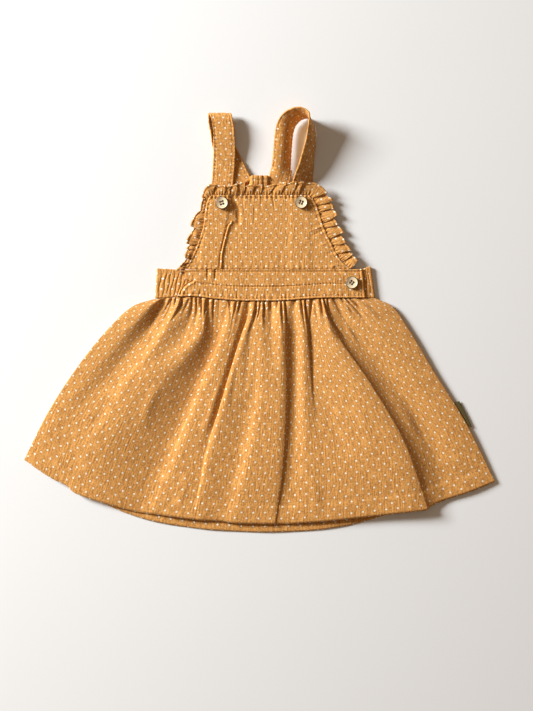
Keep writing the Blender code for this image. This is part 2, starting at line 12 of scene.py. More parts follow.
import bpy
import numpy as np
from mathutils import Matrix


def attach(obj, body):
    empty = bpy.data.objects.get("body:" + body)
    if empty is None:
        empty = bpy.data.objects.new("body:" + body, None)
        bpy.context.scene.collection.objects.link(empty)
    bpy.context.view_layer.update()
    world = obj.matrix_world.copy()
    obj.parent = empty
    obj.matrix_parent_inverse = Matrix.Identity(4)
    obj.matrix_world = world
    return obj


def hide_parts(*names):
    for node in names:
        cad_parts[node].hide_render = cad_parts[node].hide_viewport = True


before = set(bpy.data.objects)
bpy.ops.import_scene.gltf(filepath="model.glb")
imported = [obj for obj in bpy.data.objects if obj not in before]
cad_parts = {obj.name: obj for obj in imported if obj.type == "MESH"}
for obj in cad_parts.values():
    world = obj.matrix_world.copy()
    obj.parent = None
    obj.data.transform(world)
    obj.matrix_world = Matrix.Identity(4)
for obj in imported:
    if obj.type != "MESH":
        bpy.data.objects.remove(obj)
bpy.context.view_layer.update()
MM = 0.001  # the tables are in millimetres and Blender's scene is in metres
MIDDLE = np.array([0.65, -0.79, 0.0])  # of the dress's outline, in the tables' coordinates
print("solids:", ", ".join(sorted(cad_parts)))

# %% [markdown]
# ## Small helpers
#
# Most of the shapes here follow a short table of sizes. `smooth` draws a curve through a
# table's values that never overshoots them, which suits cloth: a fold stays as high as its
# crest. `follow` reads such a table by its first column, and `ease` is a soft step.

# %% Curves through tables


def smooth(knots, values, at):
    """The values at `at`, by cubic pieces through the knots that never overshoot them."""
    knots, values, at = (np.asarray(a, float) for a in (knots, values, at))
    spread = (-1,) + (1,) * (values.ndim - 1)
    rise = np.diff(values, axis=0) / np.diff(knots).reshape(spread)
    slope = np.concatenate([rise[:1], rise[:-1], rise[-1:]])
    turning = rise[:-1] * rise[1:] <= 0
    total = np.where(turning, 1.0, rise[:-1] + rise[1:])
    slope[1:-1] = np.where(turning, 0.0, 2 * rise[:-1] * rise[1:] / total)
    i = np.clip(np.searchsorted(knots, at) - 1, 0, len(knots) - 2)
    gap = (knots[i + 1] - knots[i]).reshape(spread)
    q = (at.reshape(spread) - knots[i].reshape(spread)) / gap
    start, end = values[i], values[i + 1]
    bend = slope[i] * gap * q * (1 - q) ** 2 - slope[i + 1] * gap * q**2 * (1 - q)
    return start + (end - start) * q**2 * (3 - 2 * q) + bend


def follow(rows, at, column=1):
    """A column of a table, read smoothly at these values of its first column."""
    table = np.array(rows, float)
    return smooth(table[:, 0], table[:, column], at)


def ease(value):
    """0 below 0, 1 above 1, and a smooth step between."""
    value = np.clip(value, 0, 1)
    return value * value * (3 - 2 * value)


def bump(value, middle, half_width):
    """1 at the middle, falling away on both sides like a soft ridge."""
    return np.exp(-(((value - middle) / half_width) ** 2))


def uneven(count, seed):
    """A fixed list of numbers from 0 to 1, so that repeated things aren't all alike."""
    return np.random.default_rng(seed).random(count)


print("a smooth rise from 0 to 10, a quarter of the way:", smooth([0, 1], [0, 10], [0.25])[0])

# %% [markdown]
# ## Creases listed one by one
#
# Cotton that has been worn and folded keeps soft troughs and ridges. Each row of a crease
# table is one of them: a line on the cloth, how much it bows, its half width, and how high
# it stands (below zero it sinks). A crease that starts in a seam begins at full height.

# %% Straight creases
SEAM_START = 0.15  # share of its length by which a crease from a seam starts inside the seam
SOFT_END = 0.35  # share of its length over which a free crease rises and fades
SEAM_END = 0.75  # share over which a crease that starts in a seam fades


def creases(x, y, table):
    """The height that a table of creases adds at these points."""
    height = np.zeros_like(x)
    for x0, y0, x1, y1, bow, half_width, rise, from_seam in table:
        length = np.hypot(x1 - x0, y1 - y0)
        along = ((x - x0) * (x1 - x0) + (y - y0) * (y1 - y0)) / length**2
        aside = ((x - x0) * (y1 - y0) - (y - y0) * (x1 - x0)) / length
        aside = aside - bow * 4 * along * (1 - along)
        start = ease((along + SEAM_START) / SEAM_START) if from_seam else ease(along / SOFT_END)
        end = ease((1 - along) / (SEAM_END if from_seam else SOFT_END))
        height += rise * start * end * np.exp(-((aside / half_width) ** 2))
    return height


ridge = (-10, 0, 10, 0, 0, 3, 2.0, 0)
print("a ridge 2 mm high, at its middle:", creases(np.zeros(1), np.zeros(1), [ridge])[0])

# %% [markdown]
# Some creases bend, so their line is given by its corners. A panel's thickness also needs
# the way that the cloth faces at each point, its normal.

# %% Bent creases and normals


def bends(x, y, table):
    """The height that ridges and troughs along bent lines add at these points."""
    height = np.zeros_like(x)
    for half_width, rise, *corners in table:
        nearest = np.full_like(x, np.inf)
        for (x0, y0), (x1, y1) in zip(corners, corners[1:]):
            square = (x1 - x0) ** 2 + (y1 - y0) ** 2
            along = np.clip(((x - x0) * (x1 - x0) + (y - y0) * (y1 - y0)) / square, 0, 1)
            reach = np.hypot(x - x0 - along * (x1 - x0), y - y0 - along * (y1 - y0))
            nearest = np.minimum(nearest, reach)
        height += rise * np.exp(-((nearest / half_width) ** 2))
    return height


def normals_of(grid):
    """Unit normals of a grid of points whose rows run down and whose columns run right."""
    normal = np.cross(np.gradient(grid, axis=0), np.gradient(grid, axis=1))
    return normal / np.linalg.norm(normal, axis=2, keepdims=True)


level = np.dstack([*np.meshgrid(np.arange(3.0), -np.arange(3.0)), np.zeros((3, 3))])
print("a level grid faces", normals_of(level)[1, 1])

# %% [markdown]
# ## Nodes and colours
#
# Every finish below is a small node tree. `add` makes one node, sets it and links it, and
# `colour` turns an sRGB hex value into the linear numbers that Blender's shaders work in.

# %% One function for a node, one for a colour


def colour(value):
    """A linear RGBA colour from an sRGB hex value such as 'D89C58'."""
    srgb = np.array([int(value[i : i + 2], 16) for i in (0, 2, 4)]) / 255
    linear = np.where(srgb <= 0.04045, srgb / 12.92, ((srgb + 0.055) / 1.055) ** 2.4)
    return (*linear.tolist(), 1.0)


def add(tree, kind, settings=None, inputs=None):
    """A new node, with its settings, and with each input given a value or a link."""
    node = tree.nodes.new(kind)
    for name, value in (settings or {}).items():
        setattr(node, name, value)
    for name, value in (inputs or {}).items():
        if isinstance(value, bpy.types.NodeSocket):
            tree.links.new(value, node.inputs[name])
        else:
            node.inputs[name].default_value = value
    return node


def new_material(name):
    """A material with an empty node tree, and its tree."""
    material = bpy.data.materials.new(name)
    material.use_nodes = True
    material.node_tree.nodes.clear()
    return material, material.node_tree


def finish_surface(tree, shader):
    """Links a shader to the material's output."""
    output = add(tree, "ShaderNodeOutputMaterial")
    tree.links.new(shader.outputs["BSDF"], output.inputs["Surface"])


print("D89C58 in linear light:", [round(part, 3) for part in colour("D89C58")])

# %% [markdown]
# ## Dotted cotton
#
# The cloth is a plain-woven cotton with a faint crinkle along its length, printed with
# small cream dots that stand in a staggered square repeat. The dots follow the cloth and
# not the table, so they are drawn from each piece's own UV map, which is in metres of
# cloth. A repeating pattern is two lattices, the second half a repeat off both ways, and
# each asks how far the nearest dot's middle is.
#
# Real threads here are about 0.35 mm apart. They are drawn 0.7 mm apart so that the weave
# still reads a step away, and the crinkle is a noise stretched eight times along the cloth.

# %% Sizes of the print and the weave
DOT_REPEAT = 10.35  # between the dots of one lattice, along and across the cloth
DOT_RADIUS = 0.99
THREAD_SPACING = 0.7
CRINKLE_WIDTH = 1.3
CRINKLE_LENGTH = 8 * CRINKLE_WIDTH
WAVE_LENGTH = 0.314  # a Wave texture of scale 1 repeats after this distance
print(f"dots {2 * DOT_RADIUS:.1f} mm across, threads {THREAD_SPACING} mm apart")

# %% [markdown]
# A printed dot isn't a hard disc. The ink leaves a faint darker ring in the cloth round a
# cream middle, and both edges wander a little over the threads.

# %% Printed dots
INKS = (
    # inner and outer edge in dot radii, colour, strength: first the ring, then the dot
    (0.9, 1.75, "8A5220", 0.4),
    (0.86, 1.06, "FFF6E2", 1.0),
)
EDGE_WANDER = 0.3 * MM


def dot_distance(tree, place, offset):
    """How far each point is from its nearest dot, in repeats, on one of the lattices."""
    moved = add(tree, "ShaderNodeVectorMath", {"operation": "ADD"}, {0: place, 1: offset})
    cell = add(tree, "ShaderNodeVectorMath", {"operation": "FRACTION"}, {0: moved.outputs[0]})
    centred = add(
        tree,
        "ShaderNodeVectorMath",
        {"operation": "SUBTRACT"},
        {0: cell.outputs[0], 1: (0.5, 0.5, 0)},
    )
    length = add(tree, "ShaderNodeVectorMath", {"operation": "LENGTH"}, {0: centred.outputs[0]})
    return length.outputs["Value"]


def with_dots(tree, cloth, base):
    """The cloth's colour with the dots of both lattices printed on it."""
    wander = add(
        tree, "ShaderNodeTexNoise", inputs={"Vector": cloth, "Scale": 700.0, "Detail": 1.0}
    ).outputs["Color"]
    shift = add(
        tree,
        "ShaderNodeVectorMath",
        {"operation": "MULTIPLY_ADD"},
        {0: wander, 1: (EDGE_WANDER, EDGE_WANDER, 0), 2: cloth},
    ).outputs[0]
    place = add(
        tree,
        "ShaderNodeVectorMath",
        {"operation": "SCALE"},
        {0: shift, "Scale": 1 / (DOT_REPEAT * MM)},
    ).outputs[0]
    first, second = (dot_distance(tree, place, (half, half, 0)) for half in (0, 0.5))
    nearest = add(
        tree, "ShaderNodeMath", {"operation": "MINIMUM"}, {0: first, 1: second}
    ).outputs[0]
    for inner, outer, ink, strength in INKS:
        covered = add(
            tree,
            "ShaderNodeMapRange",
            {"interpolation_type": "SMOOTHSTEP"},
            {
                "Value": nearest,
                "From Min": DOT_RADIUS * outer / DOT_REPEAT,
                "From Max": DOT_RADIUS * inner / DOT_REPEAT,
                "To Max": strength,
            },
        ).outputs[0]
        base = add(
            tree,
            "ShaderNodeMix",
            {"data_type": "RGBA"},
            {"Factor": covered, "A": base, "B": colour(ink)},
        ).outputs["Result"]
    return base


print("inks:", ", ".join(ink for _, _, ink, _ in INKS))

# %% [markdown]
# Three noises tint the threads: the crinkle along the cloth, slubs of single threads and
# broad soft blotches. Two waves, one across the other, are the weave's relief, and the
# crinkle stands under them.

# %% Threads
NOISES = (
    # the coordinates, scale, detail and weight of each noise in the colour
    ("crinkle", 1.0, 3.0, 2.5),
    ("cloth", 620.0, 1.0, 2.2),
    ("cloth", 45.0, 2.0, 0.15),
)
TONE_START = -1.93  # brings the sum of the weighted noises to the middle of 0 to 1
CRINKLE_RELIEF = 3.0  # times as high as the weave
THREAD_RELIEF = 0.4 * MM


def thread_noises(tree, cloth):
    """The noises that tint the threads, each as a number from 0 to 1."""
    drawn_out = (1 / (CRINKLE_WIDTH * MM), 1 / (CRINKLE_LENGTH * MM), 1)
    crinkle = add(
        tree, "ShaderNodeMapping", inputs={"Vector": cloth, "Scale": drawn_out}
    ).outputs[0]
    vectors = {"crinkle": crinkle, "cloth": cloth}
    return [
        add(
            tree,
            "ShaderNodeTexNoise",
            inputs={"Vector": vectors[vector], "Scale": scale, "Detail": detail},
        ).outputs[0]
        for vector, scale, detail, _ in NOISES
    ]


def weave_relief(tree, cloth, crinkle):
    """The bump of the threads, over the bump of the crinkle."""
    threads = [
        add(
            tree,
            "ShaderNodeTexWave",
            {"bands_direction": direction},
            {
                "Vector": cloth,
                "Scale": WAVE_LENGTH / (THREAD_SPACING * MM),
                "Distortion": 0.6,
                "Detail": 1.0,
            },
        ).outputs["Fac"]
        for direction in ("X", "Y")
    ]
    weave = add(
        tree, "ShaderNodeMath", {"operation": "MULTIPLY"}, {0: threads[0], 1: threads[1]}
    ).outputs[0]
    relief = add(
        tree,
        "ShaderNodeMath",
        {"operation": "MULTIPLY_ADD"},
        {0: crinkle, 1: CRINKLE_RELIEF, 2: weave},
    ).outputs[0]
    return add(
        tree,
        "ShaderNodeBump",
        inputs={"Strength": 0.7, "Distance": THREAD_RELIEF, "Height": relief},
    ).outputs[0]


print("noises in the threads:", len(NOISES))

# %% [markdown]
# The finish puts them together. Cotton is matt and has a short fuzz that lights up at a
# glance, so the roughness is high and there is a little sheen. The wrong side has the same
# threads without the print.

# %% The cotton, printed side and wrong side


def cotton(name, warm, deep, dots):
    """Printed or unprinted cotton: `warm` and `deep` are the light and dark of its threads."""
    material, tree = new_material(name)
    cloth = add(tree, "ShaderNodeUVMap", {"uv_map": "cloth"}).outputs["UV"]
    noises = thread_noises(tree, cloth)
    tone = TONE_START
    for number, (noise, row) in enumerate(zip(noises, NOISES), 1):
        tone = add(
            tree,
            "ShaderNodeMath",
            {"operation": "MULTIPLY_ADD", "use_clamp": number == len(NOISES)},
            {0: noise, 1: row[-1], 2: tone},
        ).outputs[0]
    base = add(
        tree,
        "ShaderNodeMix",
        {"data_type": "RGBA"},
        {"Factor": tone, "A": colour(deep), "B": colour(warm)},
    ).outputs["Result"]
    if dots:
        base = with_dots(tree, cloth, base)
    shader = add(
        tree,
        "ShaderNodeBsdfPrincipled",
        inputs={
            "Base Color": base,
            "Roughness": 0.88,
            "Sheen Weight": 0.12,
            "Sheen Roughness": 0.45,
            "Sheen Tint": colour("FFE3B0"),
            "Normal": weave_relief(tree, cloth, noises[0]),
        },
    )
    finish_surface(tree, shader)
    return material


PRINTED = cotton("Printed mustard cotton", "F0B466", "BE8340", dots=True)
REVERSE = cotton("Mustard cotton, wrong side", "E6AA66", "B98046", dots=False)
print("cloth materials:", PRINTED.name, "and", REVERSE.name)

# %% [markdown]
# ## Thread, button resin and label tape
#
# Sewing thread is spun polyester: a little shinier than the cloth and a touch lighter. Its
# twist is a fine noise in two tones of one colour.

# %% Sewing thread
TWIST_SHADE = 0.62  # of the thread's colour, between its strands


def thread_material(name, value, roughness):
    """Spun thread: a twist runs round it, drawn as a fine noise in its own coordinates."""
    material, tree = new_material(name)
    place = add(tree, "ShaderNodeTexCoord").outputs["Object"]
    twist = add(tree, "ShaderNodeTexNoise", inputs={"Vector": place, "Scale": 3000.0}).outputs[0]
    dark = [TWIST_SHADE * part for part in colour(value)[:3]]
    tint = add(
        tree,
        "ShaderNodeMix",
        {"data_type": "RGBA"},
        {"Factor": twist, "A": (*dark, 1), "B": colour(value)},
    ).outputs["Result"]
    shader = add(
        tree,
        "ShaderNodeBsdfPrincipled",
        inputs={"Base Color": tint, "Roughness": roughness, "Sheen Weight": 0.2},
    )
    finish_surface(tree, shader)
    return material


THREAD = thread_material("Mustard sewing thread", "F0BE74", 0.6)
BROWN_THREAD = thread_material("Brown button thread", "4A2A14", 0.55)
print("threads:", THREAD.name, "and", BROWN_THREAD.name)

# %% [markdown]
# Shirt buttons are cast polyester resin, turned and polished. They are creamy with faint
# streaks, like coconut or horn. Their outer edge is painted dark brown as painted shadow,
# the thin dark ring of shade round each button. Light goes a little way into them.

# %% Button resin
STREAKS = (900, 160, 400)  # noise scale across, along and through the streaks
STREAK_TURN = 0.6


def resin_material(name, deep, pale):
    """Cast button resin: streaks of two tones across it, glossy, slightly see-through."""
    material, tree = new_material(name)
    place = add(tree, "ShaderNodeTexCoord").outputs["Object"]
    long_way = add(
        tree,
        "ShaderNodeMapping",
        inputs={"Vector": place, "Rotation": (0, 0, STREAK_TURN), "Scale": STREAKS},
    ).outputs[0]
    streak = add(
        tree, "ShaderNodeTexNoise", inputs={"Vector": long_way, "Scale": 1.0, "Detail": 3.0}
    ).outputs[0]
    tint = add(
        tree,
        "ShaderNodeMix",
        {"data_type": "RGBA"},
        {"Factor": streak, "A": colour(deep), "B": colour(pale)},
    ).outputs["Result"]
    shader = add(
        tree,
        "ShaderNodeBsdfPrincipled",
        inputs={
            "Base Color": tint,
            "Roughness": 0.3,
            "IOR": 1.55,
            "Subsurface Weight": 0.1,
            "Subsurface Scale": 0.001,
        },
    )
    finish_surface(tree, shader)
    return material


RESIN = resin_material("Cream button resin", "E2CDA0", "FFF6E2")
# The edge material is painted shadow: a dark brown that draws the shade round each button.
EDGE_SHADOW = resin_material("Brown button edge, painted shadow", "3A2210", "5E3D1E")
print("button materials:", RESIN.name, "and", EDGE_SHADOW.name)

# %% [markdown]
# The label is a folded scrap of olive tape with nothing written on it. A narrow loom beats
# its threads into cross ribs, which a wave texture draws.

# %% Label tape
RIB_SPACING = 0.5


def tape_material():
    """Olive label tape with the cross ribs of a narrow loom."""
    material, tree = new_material("Olive label tape")
    cloth = add(tree, "ShaderNodeUVMap", {"uv_map": "cloth"}).outputs["UV"]
    ribs = add(
        tree,
        "ShaderNodeTexWave",
        {"bands_direction": "Y"},
        {"Vector": cloth, "Scale": WAVE_LENGTH / (RIB_SPACING * MM), "Distortion": 0.4},
    ).outputs["Fac"]
    tint = add(
        tree,
        "ShaderNodeMix",
        {"data_type": "RGBA"},
        {"Factor": ribs, "A": colour("403C1C"), "B": colour("716C36")},
    ).outputs["Result"]
    raised = add(
        tree, "ShaderNodeBump", inputs={"Strength": 0.5, "Distance": 0.0002, "Height": ribs}
    ).outputs[0]
    shader = add(
        tree,
        "ShaderNodeBsdfPrincipled",
        inputs={"Base Color": tint, "Roughness": 0.7, "Normal": raised},
    )
    finish_surface(tree, shader)
    return material


TAPE = tape_material()
print("label material:", TAPE.name)

# %% [markdown]
# ## From a grid of points to a piece of cloth
#
# Every panel is a grid of points for its outer face and another for its inner face, joined
# round the rim. The rim's points are pinched together, as a pressed edge is, so that no
# panel ends in a square step. The UV map holds the cloth's own measure, in metres.

# %% Faces of a closed shell


def shell_faces(rows, columns):
    """Quads of the outer face, the inner face and the rim, and how many one face has."""
    number = np.arange(rows * columns).reshape(rows, columns)
    a, b = number[:-1, :-1].ravel(), number[:-1, 1:].ravel()
    c, d = number[1:, 1:].ravel(), number[1:, :-1].ravel()
    border = np.concatenate(
        [number[0, :-1], number[:-1, -1], number[-1, :0:-1], number[:0:-1, 0]]
    )
    following = np.roll(border, -1)
    below = rows * columns
    faces = [
        np.stack([d, c, b, a], axis=1),
        np.stack([a, b, c, d], axis=1) + below,
        np.stack([border, following, following + below, border + below], axis=1),
    ]
    return np.concatenate(faces), len(a)


print("a shell of 2 x 2 points has", len(shell_faces(2, 2)[0]), "faces")

# %% [markdown]
# `in_scene` and `mesh_piece` are for any object and any mesh. `shell` makes a piece of cloth
# with them. It says which body the piece rides on, which material slot
# it belongs to and which of the plain solids it takes the place of.

# %% Build a closed shell
RIM_PINCH = 0.3  # of the thickness, taken off each face at the rim


def in_scene(name, data):
    """A new object in the scene."""
    thing = bpy.data.objects.new(name, data)
    bpy.context.scene.collection.objects.link(thing)
    return thing


def mesh_piece(name, points, faces, materials):
    """A new mesh object from points in mm, with its materials."""
    mesh = bpy.data.meshes.new(name)
    mesh.from_pydata(((points - MIDDLE) * MM).tolist(), [], faces)
    for material in materials:
        mesh.materials.append(material)
    return in_scene(name, mesh)


def shell(name, node, outer, inner, uv, faces_out=PRINTED, faces_in=PRINTED):
    """A closed piece of cloth between two grids of points (mm), which replaces a solid."""
    rows, columns = outer.shape[:2]
    rim = np.zeros((rows, columns, 1))
    rim[[0, -1]] = 1
    rim[:, [0, -1]] = 1
    pinch = RIM_PINCH * rim * (inner - outer)
    points = np.concatenate([(outer + pinch).reshape(-1, 3), (inner - pinch).reshape(-1, 3)])
    faces, on_one_face = shell_faces(rows, columns)
    piece = mesh_piece(name, points, faces.tolist(), [faces_out, faces_in])
    mesh = piece.data
    corners = np.empty(len(mesh.loops), np.int32)
    mesh.loops.foreach_get("vertex_index", corners)
    flat = np.concatenate([uv.reshape(-1, 2), uv.reshape(-1, 2)]) * MM
    layer = mesh.uv_layers.new(name="cloth")
    layer.data.foreach_set("uv", flat[corners].astype(np.float32).ravel())
    side = np.zeros(len(faces), np.int32)
    side[on_one_face : 2 * on_one_face] = 1
    mesh.polygons.foreach_set("material_index", side)
    mesh.shade_smooth()
    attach(piece, "root")
    if node:
        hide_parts(node)
    print(f"{name}: {rows} x {columns} points, {2 * len(faces)} triangles")


def arc_across(grid):
    """Length along each row of a grid, from its first column."""
    steps = np.linalg.norm(np.diff(grid, axis=1), axis=2)
    return np.concatenate([np.zeros((len(grid), 1)), np.cumsum(steps, axis=1)], axis=1)


# %% [markdown]
# ## The front skirt
#
# The skirt's main folds run from the waist seam to the hem and open out like a fan. Each
# row of the table is one fold line, with its place across and its height at six shares of
# the way down. A lip whose foot lies further in hangs over, which makes the crisp edges of
# a real pleat.

# %% Fold lines of the front skirt
LEVELS = (0.0, 0.04, 0.15, 0.40, 0.70, 1.0)
FOLD_LINES = (
    # name, columns up to the next line, x at each level, z at each level, y at the hem
    ("left seam", 1, (-103.4, -123.4, -144, -177.5, -209, -234), (0.6,) * 6, -139),
    ("left turn", 1,
     (-104, -124, -144.5, -178, -209.5, -234.5), (2.6, 5.0, 7.8, 8.9, 8.3, 3.8), -139.6),
    ("left roll", 2,
     (-100.6, -119, -138.5, -172.5, -206, -230), (3.2, 5.8, 8.5, 9.2, 8.8, 4.2), -142.4),
    ("crest 1", 3, (-97, -108, -126, -162, -200, -223), (4.0, 6.4, 9.0, 9.5, 9.2, 4.6), -147.6),
    ("hollow 1", 3, (-92, -95.5, -108, -143, -188, -207), (4.0, 3.2, 4.2, 6.9, 8.8, 4.4), -158),
    ("floor 1", 3, (-86, -87, -98, -132, -171, -192), (4.0, 4.0, 5.2, 7.8, 9.3, 4.7), -165.5),
    ("crest 2", 3, (-78, -79, -90, -122, -160, -184), (4.0, 6.0, 7.8, 9.9, 10.2, 5.0), -172.5),
    ("dip 2", 3, (-66, -66, -71, -112, -149, -169), (4.0, 3.6, 4.4, 10.6, 10.0, 5.0), -178.4),
    ("crest 3", 4, (-56, -56, -58, -97, -129, -150), (4.0, 5.4, 7.2, 9.8, 7.8, 4.3), -184.2),
    ("hollow 3", 2, (-45, -45.5, -45, -63, -92, -120), (4.0, 3.4, 2.7, 2.3, 2.3, 2.4), -192.2),
    ("foot a", 2, (-31.5, -32.2, -36.4, -57.0, -85, -110), (4.0, 3.6, 3.2, 3.6, 3.4, 3.0), -193.4),
    ("lip a", 2, (-30, -31.4, -37.4, -58.0, -84, -108), (4.0, 4.8, 5.6, 5.4, 3.9, 3.2), -193.7),
    ("crest a", 2, (-25, -26.4, -31.5, -50.5, -76, -99), (4.0, 5.8, 7.6, 6.9, 5.8, 3.1), -195),
    ("slope b", 1, (-17, -18.6, -23.5, -41, -63, -80), (4.0, 4.6, 7.0, 7.0, 5.5, 4.0), -197.4),
    ("foot b", 2, (-9.5, -10.4, -16.4, -33.0, -54, -66), (4.0, 3.6, 3.0, 3.4, 4.9, 4.2), -199.2),
    ("lip b", 2, (-8, -9.2, -17.4, -34.0, -52, -64), (4.0, 4.8, 6.0, 6.4, 6.6, 4.0), -199.5),
    ("crest b", 2, (-4.5, -5.6, -13, -29, -47, -59), (4.0, 6.0, 8.2, 8.8, 7.6, 4.2), -200),
    ("dip 4", 3, (-1.5, -2, -8, -10, -22, -38), (4.0, 5.0, 7.0, 6.2, 5.6, 2.9), -201.2),
    ("crest 5", 2, (2, 2, 3, 4, -7, -23), (4.0, 5.8, 8.0, 8.9, 8.8, 3.8), -203.1),
    ("dip 5", 2, (11, 12, 12, 14, 8, -4), (4.0, 3.8, 6.8, 9.0, 8.8, 3.9), -203.6),
    ("crest 6", 2, (20, 20, 22, 21, 17.5, 12), (4.0, 6.6, 9.0, 9.0, 8.6, 4.2), -203.7),
    ("lip d", 2, (25.5, 26.5, 27.6, 27.6, 24.7, 16.2), (4.0, 5.0, 6.8, 7.4, 7.2, 3.9), -203.8),
    ("foot d", 2, (27.5, 28.0, 28.5, 28.5, 25.4, 16.8), (4.0, 4.6, 5.4, 6.1, 6.1, 3.3), -203.8),
    ("hollow d", 3, (33, 33, 34.6, 35.6, 33.6, 26), (4.0, 4.3, 3.8, 4.2, 4.7, 2.9), -203.8),
    ("crest 7", 2, (40, 41, 44.5, 45.5, 48, 48), (4.0, 5.6, 7.6, 8.0, 7.2, 3.8), -202.5),
    ("lip e", 2, (45.5, 46, 49.0, 52.2, 57, 62), (4.0, 5.0, 6.2, 7.0, 7.4, 4.2), -201.5),
    ("foot e", 4, (47.5, 48, 49.8, 54.8, 63, 68), (4.0, 4.4, 4.0, 6.0, 7.4, 4.3), -201),
    ("crest 8", 4, (57, 58, 63, 86, 104, 114), (4.0, 5.4, 7.2, 9.4, 10.4, 5.6), -195.9),
    ("crest f", 3, (62, 64.0, 70.5, 101, 135, 156), (4.0, 5.8, 8.6, 11.2, 12.2, 8.0), -191),
    ("lip f", 2, (65, 66.5, 75.3, 110, 146, 168), (4.0, 5.2, 7.6, 10.4, 11.2, 7.4), -189.5),
    ("under f", 2, (67, 68, 76.2, 111.8, 148.4, 170.2), (4.0, 4.0, 6.0, 8.5, 8.9, 5.7), -187),
    ("floor f", 4, (69.5, 71, 81.5, 118.6, 157, 178), (4.0, 3.6, 4.2, 4.9, 5.1, 3.6), -183),
    ("hollow f", 4, (75, 80, 93, 131.5, 171, 190), (4.0, 3.4, 2.8, 2.6, 2.6, 2.4), -178.5),
    ("crest 9", 4, (91, 100, 121, 154, 192, 211), (4.0, 5.2, 5.4, 4.8, 4.6, 2.8), -171.7),
    ("right turn", 1, (116, 132, 147.5, 175, 209, 235.8), (2.6, 3.0, 3.2, 3.0, 2.6, 2.2), -161.6),
    ("right seam", 0, (115.4, 131.4, 147, 174.5, 208.5, 235.3), (0.6,) * 6, -161.5),
)
FOLD_AT = np.cumsum([0] + [row[1] for row in FOLD_LINES[:-1]])  # the column of each line
print(len(FOLD_LINES), "fold lines over", FOLD_AT[-1], "columns")

# %% [markdown]
# Between the lines the cloth follows smooth curves, both down the skirt and across it. Its
# top edge hangs from the waist seam, which dips and rises a little.

# %% Surface through the fold lines
WAIST_SEAM = ((-104, 21.5), (-67, 23.5), (-44, 21), (-13, 19), (12, 19), (71, 22), (116, 22))
WAIST_ENDS = (-104, 116)
SEAM_GAP = 0.3


def waist_seam(x):
    """y of the waist seam at these places across."""
    return follow(WAIST_SEAM, x)


def folds(down, place):
    """Points of the skirt's main folds, at shares of the way down and places across."""
    _, _, line_x, line_z, hem_y = zip(*FOLD_LINES)
    x, z = (
        smooth(FOLD_AT, smooth(LEVELS, np.transpose(line), down).T, place).T
        for line in (line_x, line_z)
    )
    hem = smooth(FOLD_AT, hem_y, place)
    seam = waist_seam(x[0]) - SEAM_GAP
    y = seam + (hem - seam) * down[:, None]
    return np.stack([x, y, z], axis=2)


print("waist seam:", np.ptp(WAIST_ENDS), "mm wide")

# %% [markdown]
# ## Gathers and small creases of the skirt
#
# Under the waistband the cloth is drawn up on a thread into about forty gathers. Seen from
# above they are round tops with dark slots between them, some short, some running on into
# a fold. Each slot gets its own length and depth from a fixed list of uneven numbers. The
# larger puckers and creases are listed in the table.

# %% Creases of the skirt
SKIRT_CREASES = (
    # x0, y0, x1, y1, bow, half width, rise, starts in the seam
    (-97, 18, -117, -22, -1.5, 2.2, -1.6, 1),
    (-89, 19, -101, -3, -0.6, 1.2, -1.4, 1),
    (-78, 20, -92, -8, 0.8, 1.3, 1.0, 1),
    (-70, 20, -79, 0, 0, 1.1, -1.3, 1),
    (-58, 19, -66, -22, 0.5, 1.6, -1.2, 1),
    (-121, -46, -142, -82, 1.5, 5.0, 0.8, 0),
    (-98, -60, -116, -108, 2.0, 5.0, 0.9, 0),
    (-150, -78, -168, -110, -2, 5.0, -0.8, 0),
    (-20, -30, -28, -92, 0, 3.5, -1.0, 0),
    (-38, -60, -56, -122, 0, 4.0, 1.0, 0),
    (-4, -20, -12, -90, 0, 3.0, 0.8, 0),
    (56, 18, 60, -12, 0, 1.4, -1.4, 1),
    (78, 18, 90, -6, 0.8, 1.5, -1.6, 1),
    (86, 17, 93, 2, 0, 1.2, 1.0, 1),
    (96, 17, 112, -8, 0.8, 1.6, -1.4, 1),
    (104, 17, 118, 2, 0, 1.4, 1.0, 1),
    (66, -4, 80, -20, 1.0, 1.8, 1.1, 0),
    (72, 0, 90, -22, 1.2, 1.6, -1.2, 0),
    (84, -2, 100, -26, 0, 2.2, 1.0, 0),
    (60, -60, 92, -150, 2, 7.0, -0.9, 0),
    (96, -70, 118, -140, 2, 6.0, 0.7, 0),
    (128, -70, 158, -118, -2, 5.0, 0.8, 0),
    (150, -86, 186, -140, 2, 5.0, -0.9, 0),
    (52, -150, 60, -196, 0, 4.0, 0.6, 0),
    (-100, -140, -116, -186, 0, 5.0, -0.7, 0),
    (-70, -150, -82, -192, 0, 4.0, 0.7, 0),
)
print(len(SKIRT_CREASES), "creases")

# %% [markdown]
# The gathers are worked out in turns: one turn is one gather, and two slow waves make some
# turns wider than others. Numbers in the next cell count the slots from the left.

# %% Gathers and slots
GATHERS = 38
GATHER_HEIGHT = 1.5
GATHER_LENGTH = 0.1  # share of the skirt's length over which the round tops fade
SLOT_REACH = (0.022, 0.085)  # least, and what an uneven number adds to it
SLOT_DEPTH = (1.4, 1.9)
TOP_HEIGHT = (0.4, 1.1)
SLOT_WIDTH = (0.12, 0.6)  # in turns: at the seam, and what the way down adds
SLOT_LEAN = 1.1  # in turns, over LEAN_LENGTH of the way down
LEAN_LENGTH = 0.08
SEAM_TUCKED, TUCK_LENGTH = 0.5, 0.006  # how deep the cloth dives at the seam, and how far
LONG_SLOTS = {
    2: 0.07, 8: 0.1, 9: 0.13, 11: 0.09, 13: 0.11, 16: 0.12,
    18: 0.08, 23: 0.08, 26: 0.12, 29: 0.1, 33: 0.1,
}
SHALLOW_SLOTS = [2, 9, 13, 16, 23]  # long ones that run into a fold
SHALLOW_DEPTH = 2.2


